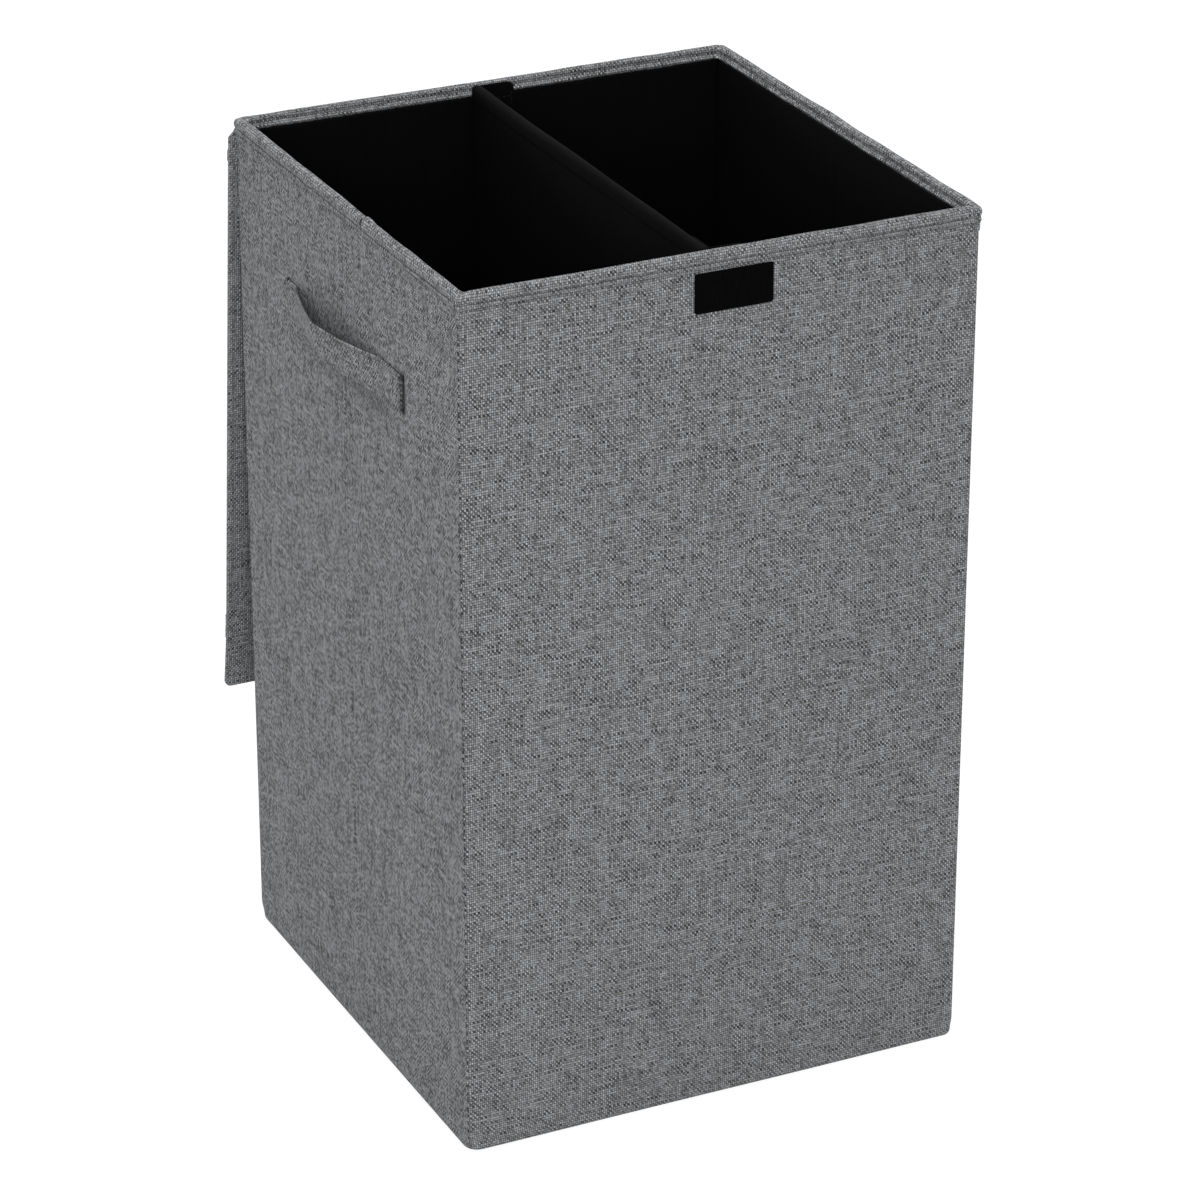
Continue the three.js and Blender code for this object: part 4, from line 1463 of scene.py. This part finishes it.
# %% Lid panel, flap and their linings
lap = 8 * MM
lap_recess = 0.8 * MM
lid_edge = 1.3 * MM
lining_inset = 5 * MM
lid_stitch_inset = 4.6 * MM
lid_turn_under = 11 * MM
panel_top = strip_length + 1.3 * MM
panel_bottom = crease_drop - 2.0 * MM


def panel_place(x, drop, height):
    return on_lid(x, drop, -panel_half - height)


def flap_place(x, drop, height):
    return on_flap(x, drop, -flap_half - height)


def panel_surface(x, drop, inset):
    recess = rise(panel_top + lap - drop, 0, 0.9 * MM) + rise(drop - panel_bottom + lap, 0, 0.9 * MM)
    groove = 0.4 * MM * bell(lid_half_width - abs(x) - lid_stitch_inset, 0.9 * MM)
    wave = 0.35 * MM * (swell(x, drop, 0.16, 101) - 1) * rise(inset, 4 * MM, 30 * MM)
    edge_roll = 0.25 * MM * bell(lid_half_width - abs(x) - 2.2 * MM, 1.6 * MM)
    return wave + edge_roll - groove - lap_recess * np.clip(recess, 0, 1)


panel_cloth = wrap_cloth(
    "lid_panel_cloth", (-lid_half_width, lid_half_width, panel_top, panel_bottom), 1.6 * MM,
    2 * panel_half - 0.6 * MM, lid_edge, (lid_turn_under,) * 4, 6 * MM, panel_place, plain_linen,
    panel_surface)
thicken(panel_cloth, 0.6 * MM)
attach(panel_cloth, "lid_panel")
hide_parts("lid_cover")

# %% [markdown]
# The flap is made in the same way, thinner and with rounder corners. It hangs from the crease at a
# slight angle, so its own surface function counts its drop from there.

# %% Flap cloth
flap_top = 0.6 * MM


def flap_surface(x, drop, inset):
    recess = rise(flap_top + lap - drop, 0, 0.9 * MM)
    groove = 0.35 * MM * bell(inset - lid_stitch_inset, 0.9 * MM) * rise(drop, lap, lap + 2 * MM)
    wave = 0.25 * MM * (swell(x, drop, 0.09, 102) - 1) * rise(inset, 4 * MM, 15 * MM)
    return wave - groove - 0.65 * MM * recess


flap_cloth = wrap_cloth(
    "lid_flap_cloth", (-lid_half_width, lid_half_width, flap_top, flap_length), 5 * MM,
    2 * flap_half - 0.6 * MM, 0.9 * MM, (lid_turn_under,) * 4, 5 * MM, flap_place, plain_linen,
    flap_surface)
thicken(flap_cloth, 0.5 * MM)
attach(flap_cloth, "lid_flap")
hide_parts("flap_cover")

# %% [markdown]
# Inside the lid a black lining covers the turned edges. It is a thin sheet with a stitch line all
# round, and one function makes it for the panel and for the flap.

# %% Lid linings
lining_stitch_inset = 2.2 * MM


def lid_lining(name, node, body, place, half_thick, near, far, corner, seed):
    inset_width = lid_half_width - lining_inset

    def surface(x, drop, inset):
        wave = 0.25 * MM * (swell(x, drop, 0.12, seed) - 1) * rise(inset, 4 * MM, 20 * MM)
        return wave - 0.25 * MM * bell(inset - lining_stitch_inset, 0.8 * MM)

    piece = wrap_cloth(
        name, (-inset_width, inset_width, near, far), corner, 0.62 * MM, 0.28 * MM, (0,) * 4, 6 * MM,
        lambda x, drop, height: place(x, drop, -2 * half_thick - height), lining_cloth, surface)
    piece.data.flip_normals()
    thicken(piece, 0.3 * MM)
    edge = lining_stitch_inset
    path = rectangle_path(
        -inset_width + edge, inset_width - edge, near + edge, far - edge,
        max(corner - edge, 0.8 * MM), 2 * MM,
        lambda x, drop, height: place(x, drop, -2 * half_thick + 0 * height), 0.0)
    side = out if body == "lid_panel" else flap_out
    thread = stitch_row(f"{name}_stitches", path, tuple(side), black_thread)
    for part in (piece, thread):
        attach(part, body)
    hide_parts(node)
    return piece


panel_lining = lid_lining(
    "lid_lining_cloth", "lid_lining", "lid_panel", panel_place, panel_half,
    panel_top + 4 * MM, panel_bottom - 3 * MM, 1.5 * MM, 103)
flap_lining = lid_lining(
    "flap_lining_cloth", "flap_lining", "lid_flap", flap_place, flap_half,
    3.5 * MM, flap_length - lining_inset, 5 * MM, 104)
print("made", panel_lining.name, "and", flap_lining.name)

# %% [markdown]
# The three pieces over the lid's folds: the strip with its lap on the panel, the cloth over the
# crease, and the lining inside the crease. Each is a sheet across the lid with its own section.

# %% Cloth over the lid's folds


def across_lid(name, section, half, turns, material, thickness, flip, chamfer=0.0):
    """A sheet whose section is a path of places, drawn out across the lid and turned round the
    lid's side edges. turns says how far it turns at each place of the section, towards the lining
    side where positive. chamfer cuts the corners where the section is near the seam."""
    travelled = travel(section)
    side_radius = 1.0 * MM
    middle = half - side_radius
    flat = graded(-middle, middle, 3.6 * MM, 5 * MM, 5 * MM, 0.9 * MM)
    steps = np.linspace(0, 1, 7)[1:]
    base = np.concatenate([np.full(6, -middle), flat, np.full(6, middle)])[None, :]
    share = np.concatenate([-steps[::-1], 0 * flat, steps])[None, :]
    depth = np.maximum(abs(turns), 0.15 * MM)[:, None]
    radius = np.minimum(depth, side_radius)
    gone = abs(share) * (radius * math.pi / 2 + depth - radius)
    angle = np.minimum(gone / radius, math.pi / 2)
    round_side = radius * (1 - np.cos(angle)) + np.clip(gone - radius * math.pi / 2, 0, None)
    from_seam = np.linalg.norm(section - np.array(seam_line), axis=1)[:, None]
    width = middle - chamfer * np.clip(1 - from_seam / chamfer, 0, 1) if chamfer else middle
    places = section[:, None, :] + (np.sign(turns)[:, None] * round_side)[..., None] * np.array(out)
    places[..., 0] += base / middle * width + np.sign(share) * radius * np.sin(angle)
    weave = np.stack(np.broadcast_arrays(base + np.sign(share) * gone, travelled[:, None]), axis=-1)
    piece = cloth_mesh(name, places, weave, material)
    if flip:
        piece.data.flip_normals()
    thicken(piece, thickness)
    return piece, float(travelled[-1])


def lid_section(points, step=0.7 * MM):
    """A section from (drop, outward) points on the lid."""
    places = np.array([on_lid(0.0, drop, outward) for drop, outward in points])
    return smooth_path(places, step)


strip_half = 1.0 * MM
strip_corner = 5 * MM
lap_proud = 0.15 * MM
lap_foot = panel_top + lap
strip_points = [
    (strip_length - 0.4 * MM, strip_half), (strip_length / 2, strip_half), (2 * MM, strip_half)]
for turn in np.radians([75, 45, 15, -15, -45, -75]):
    strip_points.append((-strip_half * math.cos(turn), strip_half * math.sin(turn)))
strip_points += [
    (2 * MM, -strip_half), (strip_length / 2, -strip_half), (strip_length - 1.6 * MM, -strip_half),
    (strip_length + 0.3 * MM, -1.35 * MM), (strip_length + 1.8 * MM, -2.15 * MM),
    (strip_length + 3.4 * MM, -panel_half), (lap_foot - 0.2 * lap, -panel_half), (lap_foot, -panel_half),
]
strip_section = lid_section(strip_points)
strip_outward = (strip_section - np.array(seam_line)) @ np.array(out)
strip_turns = np.interp(
    strip_outward, [-panel_half, -strip_half, strip_half], [4 * MM, strip_half, -strip_half])
strip_cloth, strip_flat = across_lid(
    "lid_strip_cloth", strip_section, lid_half_width + lap_proud, strip_turns, plain_linen, 0.6 * MM,
    False, strip_corner)
on_lid(0.0, strip_length - 1.4 * MM, 0.0)
on_lid(0.0, strip_length + 1.8 * MM, 0.0)
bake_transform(strip_cloth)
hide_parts("lid_hinge_strip")
print("strip cloth, flat length:", round(strip_flat, 4))

# %% [markdown]
# At the crease, a strip of cloth joins the panel to the flap on the outside and a strip of lining
# does so on the inside. Their sections have points on the panel, at the fold line and on the flap.
# Both meshes are fixed in place and don't bend when the flap folds.

# %% Cloth and lining over the flap's crease
crease_points = [
    on_lid(0.0, panel_bottom - lap + 0.3 * MM, -panel_half),
    on_lid(0.0, panel_bottom - 4 * MM, -panel_half),
    on_lid(0.0, panel_bottom, -panel_half + 0.05 * MM),
    on_flap(0.0, 0.0, -flap_half - 0.3 * MM),
    on_flap(0.0, 2.5 * MM, -flap_half),
    on_flap(0.0, flap_top + lap - 0.3 * MM, -flap_half),
]
crease_section = smooth_path(np.array(crease_points), 0.6 * MM)
crease_turns = np.linspace(2 * panel_half - 0.7 * MM, 2 * flap_half - 0.4 * MM, len(crease_section))
crease_cloth, crease_flat = across_lid(
    "lid_crease_cloth", crease_section, lid_half_width + lap_proud, crease_turns, plain_linen,
    0.5 * MM, False)
crease_lining_points = [
    on_lid(0.0, panel_bottom - 4.4 * MM, panel_half - 0.3 * MM),
    on_lid(0.0, panel_bottom - 1.6 * MM, panel_half - 0.3 * MM),
    on_lid(0.0, crease_drop - 0.4 * MM, flap_half + 0.1 * MM),
    on_flap(0.0, 1.6 * MM, flap_half - 0.2 * MM),
    on_flap(0.0, 5 * MM, flap_half - 0.2 * MM),
]
crease_lining_section = smooth_path(np.array(crease_lining_points), 0.6 * MM)
crease_lining, crease_lining_flat = across_lid(
    "lid_crease_lining", crease_lining_section, lid_half_width - lining_inset,
    np.full(len(crease_lining_section), -0.3 * MM), lining_cloth, 0.35 * MM, True)
for piece, length, width, slot in (
    (crease_cloth, crease_flat, lid_half_width, "grey_cloth"),
    (crease_lining, crease_lining_flat, lid_half_width - lining_inset, "black_lining"),
):
    on_lid(0.0, crease_drop - 2.4 * MM, 0.0)
    on_flap(0.0, 2.4 * MM, 0.0)
    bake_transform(piece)
print("crease cloth, flat length:", round(crease_flat, 4))

# %% [markdown]
# Rows of stitches hold the lid together: down both edges, along the lap below the strip, on
# either side of the crease, and along the seam at the back wall.

# %% Lid stitches
edge_x = lid_half_width - lid_stitch_inset
row_inset = 5.5 * MM


def lid_stitches(name, ends, place, normal, body):
    """A row of stitches between two (across, drop) ends on the panel or the flap."""
    line = np.array([place(x, drop, 0.0) for x, drop in ends])
    thread = stitch_row(name, spaced(line, 2 * MM), tuple(normal), grey_thread)
    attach(thread, body)


def in_groove(x, drop, height):
    return panel_place(x, drop, -0.35 * MM)


def level_row(drop):
    return [(-edge_x, drop), (edge_x, drop)]


for label, side in (("left", -1), ("right", 1)):
    ends = [(side * edge_x, lap_foot + 2 * MM), (side * edge_x, panel_bottom - lap - 2 * MM)]
    lid_stitches(f"lid_{label}_edge_stitches", ends, in_groove, -out, "lid_panel")
lid_stitches("lid_lap_stitches", level_row(panel_top + row_inset), panel_place, -out, "lid_panel")
lid_stitches(
    "lid_crease_upper_stitches", level_row(panel_bottom - row_inset), panel_place, -out, "lid_panel")
lid_stitches(
    "lid_crease_lower_stitches", level_row(flap_top + row_inset), flap_place, -flap_out, "lid_flap")
seam_x = np.linspace(-lid_half_width + 6 * MM, lid_half_width - 6 * MM, 200)
strip_seam = on_lid(seam_x, 2.2 * MM, strip_half - 0.2 * MM)
seam_thread = stitch_row("lid_seam_stitches", strip_seam, tuple(out), grey_thread)
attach(seam_thread, "lid_strip")

# %% [markdown]
# The hook patch sits inside the flap, where it meets the loop patch on the front when the lid is
# closed. It is the same taped patch, turned to face the other way.

# %% Hook patch on the flap


def on_flap_back(x, drop, height):
    return on_flap(x, drop, flap_half + 0.3 * MM + tape_thickness + height)


hook_low, hook_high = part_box("flap_hook_patch")
hook_span = [
    (Vector((0, y, z)) - flap_fold).dot(flap_down)
    for y in (hook_low.y, hook_high.y) for z in (hook_low.z, hook_high.z)]
patch_tall = patch_high.z - patch_low.z
hook_middle = (min(hook_span) + max(hook_span)) / 2
hook_tape = tape_patch(
    "flap_hook_tape", "flap_hook_patch", "lid_flap", on_flap_back,
    (hook_low.x, hook_high.x, hook_middle - patch_tall / 2, hook_middle + patch_tall / 2), 82)
hook_tape.data.flip_normals()
print("hook patch from the crease:", round(hook_middle, 4))

# %% [markdown]
# The boards and the tapes inside keep their shape from the model. They only need their finish:
# grey card for the boards, tape for the strips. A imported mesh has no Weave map, so its material
# is a copy that takes the place of each point in space instead.

# %% Finishes for the pieces that stay as they are


def in_space(material):
    """A copy of a material that reads places in space in place of the Weave map."""
    copy = material.copy()
    copy.name = f"{material.name}_in_space"
    tree = copy.node_tree
    coordinates = tree.nodes.new("ShaderNodeTexCoord")
    for link in list(tree.links):
        if link.from_node.type == "UVMAP":
            tree.links.new(coordinates.outputs["Object"], link.to_socket)
    return copy


card_in_space = in_space(card)
tape_in_space = in_space(loop_pile)
for name, node in nodes.items():
    if node.hide_render:
        continue
    finish = card_in_space if name.endswith("_board") else tape_in_space
    node.data.materials.clear()
    node.data.materials.append(finish)
print("nodes kept:", sorted(name for name, node in nodes.items() if not node.hide_render))

# %% [markdown]
# The floor is white to the camera and still takes the hamper's shadow, as a packshot's paper does:
# most of what the camera sees of it is its own white, and the rest is a plain pale surface.

# %% Floor
floor_size = 9.0
floor_below = 0.2 * MM
floor_own_white = 0.91
floor_seen_grey = 0.2
floor_bounce_grey = 0.82

floor_mesh = bpy.data.meshes.new("floor")
reach = floor_size / 2
floor_mesh.from_pydata(
    [(-reach, -reach, 0), (reach, -reach, 0), (reach, reach, 0), (-reach, reach, 0)], [],
    [(0, 1, 2, 3)])
floor = bpy.data.objects.new("floor", floor_mesh)
bpy.context.scene.collection.objects.link(floor)
floor.location.z = -floor_below
paper = bpy.data.materials.new("paper")
paper.use_nodes = True
paper_nodes, paper_links = paper.node_tree.nodes, paper.node_tree.links
paper_nodes.clear()
matt = paper_nodes.new("ShaderNodeBsdfDiffuse")
white = paper_nodes.new("ShaderNodeEmission")
looked = looked_at(paper.node_tree)
grey = paper_nodes.new("ShaderNodeMapRange")
grey.inputs["To Min"].default_value = floor_bounce_grey
grey.inputs["To Max"].default_value = floor_seen_grey
glow = paper_nodes.new("ShaderNodeMath")
glow.operation = "MULTIPLY"
glow.inputs[1].default_value = floor_own_white
sum_of_both = paper_nodes.new("ShaderNodeAddShader")
paper_output = paper_nodes.new("ShaderNodeOutputMaterial")
paper_links.new(looked, grey.inputs["Value"])
paper_links.new(looked, glow.inputs[0])
paper_links.new(grey.outputs[0], matt.inputs["Color"])
paper_links.new(glow.outputs[0], white.inputs["Strength"])
paper_links.new(matt.outputs[0], sum_of_both.inputs[0])
paper_links.new(white.outputs[0], sum_of_both.inputs[1])
paper_links.new(sum_of_both.outputs[0], paper_output.inputs["Surface"])
floor_mesh.materials.append(paper)
